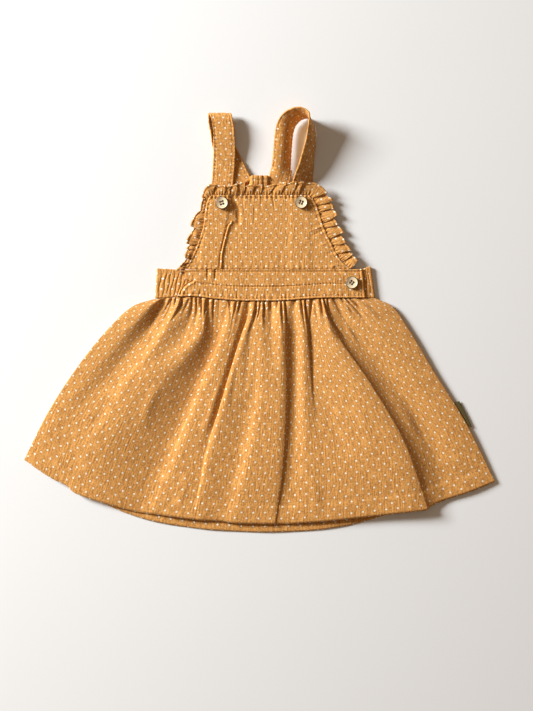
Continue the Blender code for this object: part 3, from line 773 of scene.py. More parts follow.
def gathers(seam_x, down):
    """The height that the gathers add: round tops, and a sharp slot between each two."""
    turn = GATHERS * (seam_x - WAIST_ENDS[0]) / (WAIST_ENDS[1] - WAIST_ENDS[0])
    turn = turn + 0.3 * np.sin(1.7 * turn + 0.5) + 0.25 * np.sin(0.63 * turn)
    slot_at = np.clip(np.round(turn), 0, GATHERS).astype(int)
    top_at = np.clip(np.floor(turn), 0, GATHERS).astype(int)
    reach = SLOT_REACH[0] + SLOT_REACH[1] * uneven(GATHERS + 1, 7) ** 2
    for number, length in LONG_SLOTS.items():
        reach[number] = length
    depth = SLOT_DEPTH[0] + SLOT_DEPTH[1] * uneven(GATHERS + 1, 11)
    depth[SHALLOW_SLOTS] = SHALLOW_DEPTH
    top = TOP_HEIGHT[0] + TOP_HEIGHT[1] * uneven(GATHERS + 2, 13)[top_at]
    lean = SLOT_LEAN * (uneven(GATHERS + 1, 17) - 0.5)
    inside = ease(np.minimum(turn, GATHERS - turn) - 0.4)
    slot_width = SLOT_WIDTH[0] + SLOT_WIDTH[1] * down
    aside = turn - slot_at - lean[slot_at] * down / LEAN_LENGTH
    slot = np.exp(-((aside / slot_width) ** 2))
    slot = depth[slot_at] * slot * np.exp(-((down / reach[slot_at]) ** 2))
    rounded = top * (np.abs(np.sin(np.pi * turn)) - 0.6) * np.exp(-((down / GATHER_LENGTH) ** 2))
    tucked = SEAM_TUCKED * np.exp(-((down / TUCK_LENGTH) ** 2))
    return inside * ((GATHER_HEIGHT * rounded - slot) * ease(0.45 + down / 0.012) - tucked)


print(GATHERS, "gathers,", len(LONG_SLOTS), "of them with a long slot")

# %% [markdown]
# The skirt's surface is the folds with the gathers, the creases and the hem added to them.
# The hem is turned up twice and sewn, so the cloth is thicker below the stitches, sinks in
# along them and puckers a little. A fifth of the rows lie in the gathered tenth.

# %% The front skirt's surface
SKIRT_LENGTH = 226
SKIRT_COLUMNS = 361
SKIRT_ROWS = 104
GATHERED_ROWS = 21
HEM_DEPTH = 20
HEM_STITCH_SINK = 0.45
HEM_STEP = 0.3
HEM_PUCKER = 0.3
LOWEST = 2.3  # the back skirt lies below it
down = np.concatenate(
    [
        np.linspace(0, GATHER_LENGTH, GATHERED_ROWS + 1)[:-1],
        np.linspace(GATHER_LENGTH, 1, SKIRT_ROWS - GATHERED_ROWS),
    ]
)
place = np.linspace(0, FOLD_AT[-1], SKIRT_COLUMNS)
skirt = folds(down, place)
added = gathers(skirt[0, :, 0], down[:, None])
added = added + creases(skirt[..., 0], skirt[..., 1], SKIRT_CREASES)
from_hem = SKIRT_LENGTH * (1 - down)[:, None]
added = added - HEM_STITCH_SINK * bump(from_hem, HEM_DEPTH, 0.9)
added = added + HEM_STEP * ease((HEM_DEPTH - from_hem) / 1.5)
pucker = HEM_PUCKER * np.sin(place / 1.3 + 2 * np.sin(place / 5))
added = added + pucker * bump(from_hem, HEM_DEPTH - 2, 9)
off_edge = ease(np.minimum(place - 1.5, FOLD_AT[-1] - 1.5 - place) / 3)
skirt[..., 2] = np.maximum(skirt[..., 2] + added * off_edge, LOWEST * off_edge)
print("skirt: highest fold", round(skirt[..., 2].max(), 1), "mm")

# %% [markdown]
# ## Where the dots go on a gathered skirt
#
# The skirt was a wide strip before it was gathered, and the dots keep their distance on
# every face that shows. The cloth that is missing at the waist has gone into the folds. So
# one thread of the cloth is kept straight, the dots are measured from there, and what is
# left over is hidden on the steep sides of the folds.

# %% The print's measure
REPEAT_AT_MIDDLE = 10.1
REPEAT_SLOPE = 0.0083
HEM_LOWEST = -203.8


def repeat_at(y):
    """The dots' repeat in mm: it opens a little from the bib down to the hem."""
    return REPEAT_AT_MIDDLE - REPEAT_SLOPE * y


def cloth_steps(grid, axis):
    """Lengths between neighbouring points along one axis, in the print's own measure."""
    steps = np.diff(grid, axis=axis)
    middle = (np.take(grid, range(1, grid.shape[axis]), axis) - steps / 2)[..., 1]
    length = np.linalg.norm(steps, axis=2)
    return length * DOT_REPEAT / repeat_at(middle)


def length_from_hem(grid):
    """Distance up the cloth from its last row, column by column."""
    steps = cloth_steps(grid * (1, 1, 0), 0)[::-1]
    length = np.concatenate([np.zeros((1, grid.shape[1])), np.cumsum(steps, axis=0)])
    return length[::-1]


print("a repeat of dots at the hem:", round(repeat_at(HEM_LOWEST), 2), "mm")

# %% [markdown]
# Across the skirt, spare cloth is what a row has less than the hem has. It is shared out by
# how steep the row is at each step, so that it hides on the flanks of the folds and in the
# slots, and the rows are smoothed together so that the dots of one column stay in line.

# %% The skirt's measure across
LEAST_RUN = 0.25
GENTLE_SLOPE, STEEPEST = 0.1, 1.4  # slopes below the first hide nothing
STRAIGHT_THREAD = "lip d"  # the fold line that the cloth is measured from


def spare_cloth_weight(grid):
    """Where the spare cloth of each row hides: on steep slopes and in the slots."""
    run = np.maximum(np.abs(np.diff(grid[..., 0], axis=1)), LEAST_RUN)
    slope = np.abs(np.diff(grid[..., 2], axis=1)) / run
    weight = (np.clip(slope - GENTLE_SLOPE, 0, STEEPEST) + 0.01) * run
    for _ in range(3):
        weight[1:-1] = (weight[:-2] + 2 * weight[1:-1] + weight[2:]) / 4
    return weight


def gathered_measure(grid, place):
    """Distance across the cut cloth for each point, with the spare cloth inside the folds."""
    steps, weight = cloth_steps(grid, 1), spare_cloth_weight(grid)
    line = [row[0] for row in FOLD_LINES].index(STRAIGHT_THREAD)
    middle = int(np.searchsorted(place, FOLD_AT[line]))
    measure = np.zeros(grid.shape[:2])
    for side, turned in ((slice(middle, None), 1), (slice(middle - 1, None, -1), -1)):
        run, hides = steps[:, side], weight[:, side]
        spare = np.maximum(run[-1].sum() - run.sum(axis=1), 0)
        share = np.cumsum(hides, axis=1) / hides.sum(axis=1, keepdims=True)
        reach = turned * (np.cumsum(run, axis=1) + spare[:, None] * share)
        if turned > 0:
            measure[:, middle + 1 :] = reach
        else:
            measure[:, middle - 1 :: -1] = reach
    return measure


skirt_uv = np.dstack([gathered_measure(skirt, place), length_from_hem(skirt)])
print("cloth across the hem:", round(np.ptp(skirt_uv[-1, :, 0])), "mm")

# %% [markdown]
# The wall is 0.8 mm thick, measured along the cloth's normals, and it doesn't reach up past
# the waist seam, where the band begins.

# %% Make the front skirt
SKIRT_WALL = 0.8
wall = SKIRT_WALL * normals_of(skirt)
wall[0, :, 1] = np.maximum(wall[0, :, 1], 0)
shell("skirt_front_cloth", "skirt_front", skirt, skirt - wall, skirt_uv, faces_in=REVERSE)
print("front hem:", round(arc_across(skirt)[-1, -1]), "mm of cloth across")

# %% [markdown]
# ## The back skirt
#
# The back panel lies flat on the table with the front panel on it. Only its hem shows, a
# finger's width below the front hem, with a small curl where its edge was caught. Its
# turned-up hem shows the printed side again.

# %% Back skirt: outline
BACK_TOP = 1.2
BACK_INSET = 1.5  # from the front panel's side seams
BACK_HEM = (
    # x, y of the hem's edge
    (-228, -138), (-196, -153), (-167, -168), (-163, -176.5), (-154, -181.5), (-133, -191),
    (-108, -199), (-77, -205), (-44, -209), (6, -211.3), (41, -210.4), (84, -205.4),
    (105, -200.5), (125, -194.5), (150, -186), (172, -178), (206, -170), (228, -162),
)


def inset_line(line, distance):
    """A line moved sideways, to the left of the way it runs."""
    along = np.gradient(line, axis=0)
    along /= np.linalg.norm(along, axis=1, keepdims=True)
    return line + distance * np.stack([-along[:, 1], along[:, 0]], axis=1)


def back_skirt_points():
    """Points of the back panel from above, and each row's share of the way down."""
    shares = np.concatenate([np.linspace(0, 0.85, 30)[:-1], np.linspace(0.85, 1, 24)])
    sides = folds(shares, np.array([0, FOLD_AT[-1]]))[..., :2]
    left, right = inset_line(sides[:, 0], BACK_INSET), inset_line(sides[:, 1], -BACK_INSET)
    across = np.linspace(0, 1, 241)[:, None]
    hem = left[-1] + (right[-1] - left[-1]) * across
    hem[:, 1] = follow(BACK_HEM, hem[:, 0])
    seam = left[0] + (right[0] - left[0]) * across
    seam[:, 1] = waist_seam(seam[:, 0]) - SEAM_GAP
    rows = []
    for share, left_end, right_end in zip(shares, left, right):
        straight = seam + (hem - seam) * share
        row = straight + (left_end - straight[0]) * (1 - across) ** 3
        row += (right_end - straight[-1]) * across**3
        rows.append(row)
    return np.array(rows), shares


flat_back, back_down = back_skirt_points()
print("back hem:", round(flat_back[..., 1].min() - skirt[..., 1].min(), 1), "mm past the front hem")

# %% [markdown]
# The hem of the back panel isn't quite flat: it waves a quarter of a millimetre, has its
# line of stitches pressed in, and curls up at the left where it was caught.

# %% Make the back skirt
HEM_WAVE = 0.25
BACK_STITCH_SINK = 0.3
CURL_HEIGHT, CURL_AT, CURL_WIDTH = 1.6, (-160, -180), 4.5
x, y = flat_back[..., 0], flat_back[..., 1]
near_hem = ease((back_down[:, None] - 0.88) / 0.1)
z = BACK_TOP + HEM_WAVE * near_hem * np.sin(x / 9)
z = z - BACK_STITCH_SINK * bump(back_down[:, None], 0.965, 0.003)
z = z + CURL_HEIGHT * bump(x, CURL_AT[0], CURL_WIDTH) * bump(y, CURL_AT[1], CURL_WIDTH)
back = np.dstack([x, y, z])
table_side = back.copy()
table_side[..., 2] = 0
back_uv = np.dstack([x * DOT_REPEAT / repeat_at(y), length_from_hem(back)])
shell("skirt_back_cloth", "skirt_back", back, table_side, back_uv)

# %% [markdown]
# ## The waistband
#
# The waistband's back half is elastic: it comes round both sides and is ribbed where the
# front shows it. The front half is flat and folded double, with a line of stitches along
# its middle, a rounded lap at the left and a raised seam along the skirt.

# %% Path of the elastic band
BAND_WALL = 1.2
ELASTIC_TOP = 3.0
ELASTIC_ENDS = (-66, 86)
RIB_PITCH = 3.8
BAND_TOP_EDGE = (
    # x, y
    (-104, 51.6), (-92, 50.6), (-79, 48.6), (-73, 50.1), (-60, 50.4), (98, 50.5), (112, 53),
)


def elastic_path():
    """x and z of the band's outer face, from the right front round the back to the left."""
    left, right = WAIST_ENDS
    turn = ELASTIC_TOP / 2
    angles = np.radians(np.arange(0, 181, 15))
    right_turn = [(right - turn + turn * np.sin(a), turn + turn * np.cos(a)) for a in angles]
    left_turn = [(left + turn - turn * np.sin(a), turn - turn * np.cos(a)) for a in angles]
    right_front = np.arange(ELASTIC_ENDS[1], right - turn - 0.2, RIB_PITCH / 12)
    left_front = np.arange(left + turn + 0.2, ELASTIC_ENDS[0], RIB_PITCH / 12)
    under = np.linspace(right - turn, left + turn, 60)[1:-1]
    path = [(x, ELASTIC_TOP) for x in right_front] + right_turn + [(x, 0) for x in under]
    return np.array(path + left_turn + [(x, ELASTIC_TOP) for x in left_front]).T


print("elastic band:", elastic_path().shape[1], "sections round")

# %% [markdown]
# The ribs stand on the front only, where the band shows. They run from the seam to the top
# edge, lean over near both ends, and have sharp grooves between round tops.

# %% Elastic back band
RIB_HEIGHT = 0.9
RIB_LEVEL = 0.85  # the share of a rib's height that lies below the band's own level
LEFT_SLANT = 6.0
LEFT_LEAN, RIGHT_LEAN = 2.0, -4.0


def elastic_band():
    """Makes the elastic casing of the waist's back half."""
    left, right = WAIST_ENDS
    x, z = elastic_path()
    top = follow(BAND_TOP_EDGE, np.clip(x, left, BAND_TOP_EDGE[-1][0]))
    share = np.linspace(0, 1, 40)[:, None]
    y = top + (waist_seam(x) - top) * share
    on_front = z >= ELASTIC_TOP
    slant = LEFT_SLANT * ease((x - left) / 10) * on_front * (x < 0)
    lean_left = LEFT_LEAN * ease(1 - (x - left) / 12)
    lean_right = RIGHT_LEAN * ease(1 - (right - x) / 14)
    lean = np.where(x < 0, lean_left, lean_right)
    rows_x = x + (slant + lean) * (1 - share)
    turns = np.where(x < 0, x - left, right - x) / RIB_PITCH
    wander = turns + 0.12 * np.sin(9 * share + 2.1 * turns)
    ribs = RIB_HEIGHT * (np.abs(np.sin(np.pi * wander)) ** 0.6 - RIB_LEVEL) * on_front
    rows_z = z + ribs * np.sin(np.pi * np.clip(share, 0.06, 0.94)) ** 0.5
    outer = np.dstack([rows_x, y, rows_z])
    plain = np.dstack([rows_x, y, np.broadcast_to(z, y.shape)])
    inner = plain - BAND_WALL * normals_of(plain)
    inner[:, on_front, 2] = ELASTIC_TOP - BAND_WALL - 0.3
    length = np.cumsum(np.hypot(np.diff(x, prepend=x[0]), np.diff(z, prepend=z[0])))
    uv = np.dstack([np.broadcast_to(length, y.shape), y])
    shell("waistband_back_cloth", "waistband_back", outer, inner, uv)


elastic_band()

# %% [markdown]
# The front band takes its own creases: the cloth is pulled in beside the lap, and short
# folds run from the seams. The waist seam below it is pressed over a cord of seam
# allowances, so its lowest 2 mm stand up as a ridge that catches the light.

# %% Creases of the front band
BAND_TOP = 4.5
FRONT_BAND_LEFT = (
    # share of the way down, x: a rounded lap below the stitched middle line
    (0.0, -74), (0.28, -74), (0.36, -73.6), (0.40, -68.5), (0.47, -71), (0.56, -75),
    (0.78, -79), (1.0, -82),
)
FRONT_BAND_RIGHT = (103, 106)
BAND_BENDS = (
    # half width, rise, corners of the line: the rounded lap at the left
    (0.8, -1.1, (-66, 38.8), (-71, 36.6), (-75.0, 33), (-77.6, 29), (-79.4, 24)),
    (1.2, 0.6, (-64.5, 37.0), (-69.6, 34.8), (-73.2, 31.6), (-75.6, 28), (-77.2, 24)),
)
BAND_CREASES = (
    # x0, y0, x1, y1, bow, half width, rise, starts in the seam
    (-51.5, 51, -51, 36, 0, 0.9, -1.0, 1),
    (-43.5, 51, -44, 35.5, 0, 0.8, -1.1, 1),
    (-47.5, 51, -47.5, 38, 0, 1.6, 0.5, 1),
    (-66, 46, -64, 38, 0, 0.9, -0.6, 0),
    (-59, 36, -51, 34.2, 0, 0.6, -0.9, 0),
    (-60, 24, -57, 34, 0, 1.0, -0.5, 1),
    (-69, 24, -64, 33, 0.4, 1.4, 0.5, 1),
    (-36, 24, -35, 33, 0, 0.9, -0.5, 1),
    (-22, 22, -21, 32, 0, 1.2, -0.4, 1),
    (6, 21, 6, 31, 0, 1.1, -0.4, 1),
    (28, 22, 27, 33, 0, 1.1, -0.4, 1),
    (58, 23, 59, 33, 0, 1.1, -0.4, 1),
    (76, 38.5, 88, 37.6, 0, 1.2, -0.5, 0),
    (78, 55, 88, 47, 0.4, 1.0, 0.7, 0),
    (74, 53, 84, 45, 0.4, 1.0, -0.7, 0),
    (99, 48, 101, 26, 0.4, 0.9, 0.5, 0),
)
print("front band:", len(BAND_CREASES), "creases and", len(BAND_BENDS), "bent ones at the lap")

# %% [markdown]
# Along each edge the cloth is folded round a seam: a ridge at the very edge and a groove
# beside it. The row of stitches along the middle presses a groove too, puckered by the
# thread.

# %% Flat front band
MIDDLE_STITCHES = 14  # from the waist seam
STITCHED = (-66, 94)  # where the middle line of stitches starts and ends
STITCH_GROOVE, STITCH_PUCKER = 0.7, 0.18
SEAM_RIDGE, SEAM_GROOVE, SEAM_PUCKER = 0.8, 0.55, 0.22
TOP_RIDGE, TOP_GROOVE = 0.45, 0.45
END_RIDGE, END_GROOVE = 0.5, 0.4
BAND_PRINT_SHIFT = (3.2, 4.4)


def front_band_points(share, across):
    """Points of the front band's outer face at shares of the way down and across."""
    left = np.interp(share, *np.array(FRONT_BAND_LEFT).T)[:, None]
    right = (FRONT_BAND_RIGHT[0] + (FRONT_BAND_RIGHT[1] - FRONT_BAND_RIGHT[0]) * share)[:, None]
    x = left + (right - left) * across
    top = follow(BAND_TOP_EDGE, np.maximum(x.ravel(), -74)).reshape(x.shape)
    bottom = waist_seam(x.ravel()).reshape(x.shape)
    y = top + (bottom - top) * share[:, None]
    from_top, from_bottom = top - y, y - bottom
    sewn = ease((x - STITCHED[0]) / 3) * ease((STITCHED[1] - x) / 3)
    z = BAND_TOP + 0.25 * np.sin(x / 5.5) * np.sin(np.pi * share[:, None])
    z = z - STITCH_GROOVE * sewn * bump(from_bottom, MIDDLE_STITCHES, 0.7)
    pucker = STITCH_PUCKER * np.sin(x * 2.1 + 1.3 * np.sin(x / 3))
    z = z + pucker * bump(from_bottom, MIDDLE_STITCHES, 3) * sewn
    z = z + SEAM_RIDGE * bump(from_bottom, 0.9, 0.9) - SEAM_GROOVE * bump(from_bottom, 2.4, 0.6)
    z = z + SEAM_PUCKER * np.sin(x * 1.3 + 2 * np.sin(x / 4)) * bump(from_bottom, 3.5, 3)
    z = z + TOP_RIDGE * bump(from_top, 0.8, 0.8) - TOP_GROOVE * bump(from_top, 2.3, 0.6)
    z = z + END_RIDGE * bump(right - x, 1.2, 0.9) - END_GROOVE * bump(right - x, 2.8, 0.7)
    z = z + creases(x, y, BAND_CREASES) + bends(x, y, BAND_BENDS)
    return np.dstack([x, y, z])


band = front_band_points(np.linspace(0, 1, 72), np.linspace(0, 1, 301))
band_inner = band.copy()
band_inner[..., 2] = BAND_TOP - BAND_WALL
band_uv = band[..., :2] - BAND_PRINT_SHIFT
shell("waistband_front_cloth", "waistband_front", band, band_inner, band_uv)

# %% [markdown]
# ## The bib and the panel behind it
#
# The bib is a double panel, wider at the waist, that lies over the ends of both straps. Its
# height follows what is under it. Sewing pulls small puckers in from the seams on all
# sides, and one sharp ridge shows where the edge of the left strap lies behind the cloth.

# %% Outline of the bib
BIB_TOP = 4.6
BIB_SIDES = (
    # y, left x, right x
    (124.5, -46, 50), (122, -50, 53), (113, -53, 58), (92, -56, 65), (78, -60.5, 71.5),
    (59, -69, 82), (50.6, -74.2, 92),
)


def bib_edge(y, side):
    """x of the bib's left edge (side 1) or right edge (side 2) at these heights."""
    return follow(BIB_SIDES[::-1], y, side)


bib_width = bib_edge([92.0], 2) - bib_edge([92.0], 1)
print("bib:", round(bib_width[0]), "mm wide at mid height")

# %% [markdown]
# The straps are needed now, because their ends lift the bib. Each row of their tables is a
# section: its middle, the direction of its flat side seen from above, how far that side
# lifts from the table, and how much it curls towards its edges, the last three in degrees.

# %% Sections along the straps
STRAP_LEFT = (
    # x, y, z, heading, lift, curl
    (-16, 135, 2.4, 207, 0, 0), (-20.8, 143, 2.4, 206, 0, 0), (-28, 158, 1.7, 203, 0, 0),
    (-34.5, 172, 1.6, 195, 3, 4), (-39.5, 186, 3.4, 184, 18, 24), (-41.5, 199, 4.2, 180, 14, 26),
    (-39, 205.8, 5.6, 180, 0, 6), (-37, 200, 8.4, 180, 0, 0), (-35, 186, 8.2, 178, 0, 0),
    (-34.5, 170, 6.4, 179, 0, 0), (-35.3, 150, 4.7, 181, 0, 0), (-36.3, 138, 4.4, 184, 0, 0),
    (-36.9, 132, 4.3, 185, 0, 0), (-38, 125, 3.0, 187, 0, 0), (-39.5, 116, 2.5, 189, 0, 0),
    (-45, 85, 2.4, 190, 0, 0), (-49.5, 58, 2.4, 190, 0, 0),
)
STRAP_RIGHT = (
    (16.5, 128, 2.6, 168, 0, 0), (19.5, 138, 4.8, 168, 5, -10), (21.7, 146, 7.0, 168, 13, -26),
    (23.5, 154, 8.8, 168, 22, -40), (25, 170, 9.8, 172, 26, -44), (26.5, 186, 9.8, 170, 27, -42),
    (29.5, 196.0, 10.0, 155, 34, -30), (35.0, 202.0, 10.8, 125, 48, -10),
    (41.5, 204.8, 11.6, 98, 62, 0), (47.5, 203.6, 12.0, 66, 78, 0),
    (52, 197.5, 11.8, 24, 100, 10), (54.0, 186, 11.2, 0, 113, 24),
    (53, 174, 10.5, -8, 120, 30), (50.5, 162, 9.9, -10, 127, 32), (48, 151, 8.7, -12, 137, 26),
    (45.5, 143, 6.8, -12, 148, 18), (44, 136.5, 4.9, -10, 160, 10), (43, 130, 3.6, -6, 171, 4),
    (42.5, 123, 2.8, -3, 177, 0), (42, 114, 2.4, 0, 180, 0), (41, 90, 2.4, 2, 180, 0),
    (41, 64, 2.4, 2, 180, 0),
)
LEFT_END_ROWS = 5  # of the left strap's table, behind the bib
print("strap sections:", len(STRAP_LEFT), "left,", len(STRAP_RIGHT), "right")

# %% [markdown]
# The bib's creases are placed like the skirt's. The longest bent one is the edge of the
# left strap, pressed through the cloth.

# %% Creases of the bib
BIB_BENDS = (
    # half width, rise, corners of the line
    (1.6, -1.5, (-27, 123), (-24, 117), (-21, 109), (-20.5, 97)),
    (2.0, 0.5, (-22, 121), (-17.6, 110), (-17.2, 98)),
    (0.95, 1.2, (-27, 98), (-30, 94), (-32.5, 85), (-35, 75), (-37, 65), (-38, 52)),
    (0.75, -0.9, (-28.4, 97.2), (-31.6, 93.4), (-34.1, 84.6), (-36.6, 74.6), (-38.6, 65),
     (-39.6, 52)),
)
BIB_CREASES = (
    # x0, y0, x1, y1, bow, half width, rise, starts in the seam
    (-4, 118, -5, 92, 0, 1.2, -0.4, 0),
    (2, 124, 2, 106, 0, 0.9, -0.5, 1),
    (-14, 124, -14, 108, 0, 1.0, 0.4, 1),
    (14, 124, 16, 104, 0, 1.0, -0.5, 1),
    (23, 124, 24, 110, 0, 1.0, 0.4, 1),
    (62, 93, 46, 85, 0.6, 1.2, 0.6, 1),
    (64, 89, 50, 82, 0.6, 1.0, -0.6, 1),
    (70, 78, 56, 72, 0, 1.0, 0.5, 1),
    (76, 68, 62, 64, 0, 1.0, -0.5, 1),
    (80, 56, 70, 52, 0, 1.2, 0.8, 0),
    (-53, 106, -42, 104, 0, 1.0, -0.6, 1),
    (-54, 101, -44, 97, 0, 0.9, 0.6, 1),
    (-55, 95, -43, 92, 0.5, 1.0, -0.5, 1),
    (-58, 86, -47, 86, 0, 0.9, 0.5, 1),
    (-62, 76, -50, 78, 0, 1.0, -0.5, 1),
    (-66, 66, -55, 68, 0, 1.0, 0.4, 1),
    (-60, 51, -58, 60, 0, 1.2, -0.4, 1),
    (-15, 51, -15, 62, 0, 1.2, -0.4, 1),
    (20, 51, 22, 66, 0, 1.4, -0.4, 1),
    (52, 51, 52, 62, 0, 1.2, 0.4, 1),
)
print("bib:", len(BIB_CREASES), "creases and", len(BIB_BENDS), "bent ones")

# %% [markdown]
# Two more things shape the bib: what lies under it, and the puckers that a machine's thread
# draws up beside every seam.

# %% Height and puckers of the bib
LIFT_LEFT, LIFT_RIGHT = 0.6, 0.5  # over the strap ends
TOP_LIFT = 0.9
HOLLOW = 0.7  # beside the left strap


def bib_height(x, y):
    """z of the bib's outer face: it lies over the strap ends and pulls in between them."""
    left_tail = np.array(STRAP_LEFT)[-LEFT_END_ROWS:][::-1]
    tail_x = np.interp(y, left_tail[:, 1], left_tail[:, 0])
    over_left = ease((12.5 - np.abs(x - tail_x)) / 4)
    over_right = ease((13 - np.abs(x - STRAP_RIGHT[-1][0])) / 5)
    near_top = ease((y - 100) / 22)
    hollow = np.exp(-(((x + 21 - 0.1 * (y - 110)) / 6) ** 2)) * ease((y - 80) / 20)
    over_straps = BIB_TOP + LIFT_LEFT * over_left + LIFT_RIGHT * over_right
    return over_straps + TOP_LIFT * near_top - HOLLOW * hollow


def puckers(distance, along, pitch, seed):
    """Small uneven waves beside a line of stitches: higher near the line, then fading."""
    phase = 2 * np.pi * along / pitch
    phase = phase + 1.6 * np.sin(along / (2.3 * pitch) + seed) + 0.9 * np.sin(along / 3.1 + seed)
    return np.sin(phase) * np.exp(-((distance / 4.5) ** 2))


print("bib over the left strap's end:", round(float(bib_height(-45.0, 85.0)), 1), "mm up")

# %% [markdown]
# The bib is one grid of points. On the three sides that are stitched, a groove is pressed
# under the stitches and the cloth outside it stands up a little.

# %% Bib front
BIB_WALL = 1.0
BIB_STITCH_INSET = 3.0
EDGE_GROOVE, EDGE_RIDGE = 0.4, 0.3
BIB_PUCKERS = (
    # height, pitch and seed beside each seam: left, right, top and waist
    (0.42, 5.2, 1.0), (0.42, 5.4, 2.0), (0.4, 4.6, 3.0), (0.25, 5.5, 4.0),
)
BIB_PRINT_STRETCH = (1.035, 1.1)
BIB_PRINT_SHIFT = (2.2, 2.0)
bib_top, bib_bottom = BIB_SIDES[0][0], BIB_SIDES[-1][0]
y = bib_top + (bib_bottom - bib_top) * np.linspace(0, 1, 140) ** 1.1
left, right = bib_edge(y, 1)[:, None], bib_edge(y, 2)[:, None]
x = left + (right - left) * np.linspace(0, 1, 251)
y = np.broadcast_to(y[:, None], x.shape)
z = bib_height(x, y) + creases(x, y, BIB_CREASES) + bends(x, y, BIB_BENDS)
seams = ((x - left, y), (right - x, y), (bib_top - y, x), (y - bib_bottom, x))
for (distance, along), (height, pitch, seed) in zip(seams, BIB_PUCKERS):
    z = z + height * puckers(distance, along, pitch, seed)
for from_edge in (x - left, right - x, bib_top - y):
    z = z - EDGE_GROOVE * bump(from_edge, BIB_STITCH_INSET, 0.7)
    z = z + EDGE_RIDGE * bump(from_edge, 1.2, 1.0)
bib = np.dstack([x, y, z])
bib_inner = np.dstack([x, y, bib_height(x, y) - BIB_WALL])
bib_uv = BIB_PRINT_STRETCH * (bib[..., :2] - BIB_PRINT_SHIFT)
shell("bib_front_cloth", "bib_front", bib, bib_inner, bib_uv)

# %% [markdown]
# Behind the bib lies the back panel. Between the straps its gathered top edge shows, a few
# soft folds drawn up on elastic.

# %% Back panel
BACK_BIB_TOP = 142.4
BACK_BIB_SIDES = (
    # y, left x, right x
    (BACK_BIB_TOP, -39, 28.5), (131, -44, 33), (124, -46, 43), (92, -54, 58), (51.6, -66, 78),
)
TOP_SWELL = 7.0  # how high the gathered edge stands off the table
TOP_BULGE = 1.4
GATHER_PITCH = 7.2
GATHERS_RISE, GATHER_SLOT, ELASTIC_GROOVE = 0.5, 0.9, 0.5
y = np.concatenate([np.linspace(BACK_BIB_TOP, 120, 40)[:-1], np.linspace(120, 51.6, 24)])
left, right = (follow(BACK_BIB_SIDES[::-1], y, side)[:, None] for side in (1, 2))
x = left + (right - left) * np.linspace(0, 1, 271)
down_mm = (BACK_BIB_TOP - y)[:, None]
showing = ease((x + 10.5) / 4) * ease((12 - x) / 4)
gathered = showing * np.exp(-((down_mm / 14) ** 2))
drawn = np.sin(np.pi * (x / GATHER_PITCH + 0.3 * np.sin(x / 3.1)))
z = BACK_TOP + GATHERS_RISE * gathered * np.abs(drawn)
z = z + TOP_SWELL * showing * np.exp(-((down_mm / 11) ** 2))
z = z - GATHER_SLOT * gathered * bump(x, 4.2, 0.9)
z = z - ELASTIC_GROOVE * showing * bump(down_mm, 4, 0.8)
y = np.broadcast_to(y[:, None], x.shape)
y = y + TOP_BULGE * showing * np.exp(-((down_mm / 6) ** 2))
back_bib = np.dstack([x, y, z])
back_bib_inner = np.dstack([x, y, z - BACK_TOP])
back_bib_uv = np.dstack([1.1 * x, y])
shell("back_bib_cloth", "back_bib", back_bib, back_bib_inner, back_bib_uv)

# %% [markdown]
# ## The frill
#
# The frill is a strip of cloth, gathered and sewn into the bib's edge so that its free
# edge stands out in flaps. No two are alike: some are broad and lie smooth, some are short
# and curl over the next one with a dark slot under them. So they are listed one by one. Each
# row of the table is one slot between two flaps, in millimetres along the seam.

# %% Sizes round the frill
RUFFLE_WALL = 1.0
RUFFLE = (
    # share of the way round, width, z at the seam, z at the free edge
    (0.00, 5.5, 4.8, 5.4), (0.04, 4.5, 4.8, 4.8), (0.09, 7.5, 4.6, 4.4), (0.15, 9.5, 4.6, 4.2),
    (0.215, 10.0, 4.6, 4.2), (0.25, 4.5, 4.8, 4.6), (0.29, 6.5, 5.6, 6.0), (0.31, 8.5, 6.2, 8.0),
    (0.36, 8.0, 6.6, 8.8), (0.42, 10.0, 6.3, 8.6), (0.47, 9.0, 5.8, 7.4), (0.51, 8.0, 5.6, 6.6),
    (0.56, 10.0, 5.8, 8.6), (0.61, 10.5, 6.4, 11.2), (0.65, 10.5, 6.6, 10.4),
    (0.69, 12.0, 6.0, 7.4), (0.73, 15.0, 5.0, 4.6), (0.78, 13.0, 4.6, 4.0),
    (0.84, 13.0, 4.6, 3.8), (0.90, 12.0, 4.6, 4.0), (0.95, 12.0, 4.6, 4.2),
    (1.00, 9.0, 4.8, 4.8),
)
FLAPS = (
    # slot along the seam, how far its outer end runs on, flap height, lean, reach
    (0, 0, 2.4, -2.0, 1.1), (7, -5, 3.4, -2.8, 0.9), (15, -4, 3.6, -2.8, 1.1),
    (22.5, -2, 3.2, -2.6, 0.95), (28, -2.5, 3.6, -3.0, 1.15), (36, 2.5, 3.2, -2.6, 0.85),
    (43, 5, 3.6, -3.4, 1.1), (53.5, 4.5, 2.6, -2.8, 0.95), (59, 2.5, 1.5, -1.4, 0.9),
    (74, 3, 2.4, 2.2, 1.1), (86, 5, 1.6, 2.1, 1.0), (95, 1, 1.2, 1.2, 0.9),
    (101, 1, 1.9, 2.2, 1.0), (108.5, -2, 1.5, 1.8, 1.1), (114, 2, 2.1, 2.0, 0.9),
    (125, 1.5, 1.5, 1.6, 1.05), (131, 2.5, 2.0, 2.3, 1.0), (141, 8, 2.4, 2.9, 1.05),
    (153, 6, 2.3, 2.7, 1.05), (163, 5.5, 2.1, 2.5, 1.05), (171, 3, 1.8, 2.2, 1.05),
    (186.5, 3.5, 2.2, 2.4, 1.0), (192.5, 1.5, 1.4, 1.6, 0.9), (201, 0, 2.4, 2.6, 1.1),
    (210, -3, 1.6, 1.8, 0.92), (217, 2.5, 2.6, 2.9, 1.08), (229, 0, 1.9, 2.2, 0.95),
    (235.5, 4.5, 2.6, 3.0, 1.05), (247, 5, 2.2, 2.6, 0.95), (255, 2, 1.8, 1.8, 1.0),
    (266, 0, 1.2, 0.8, 1.0),
)
RUFFLE_COLUMNS = 961
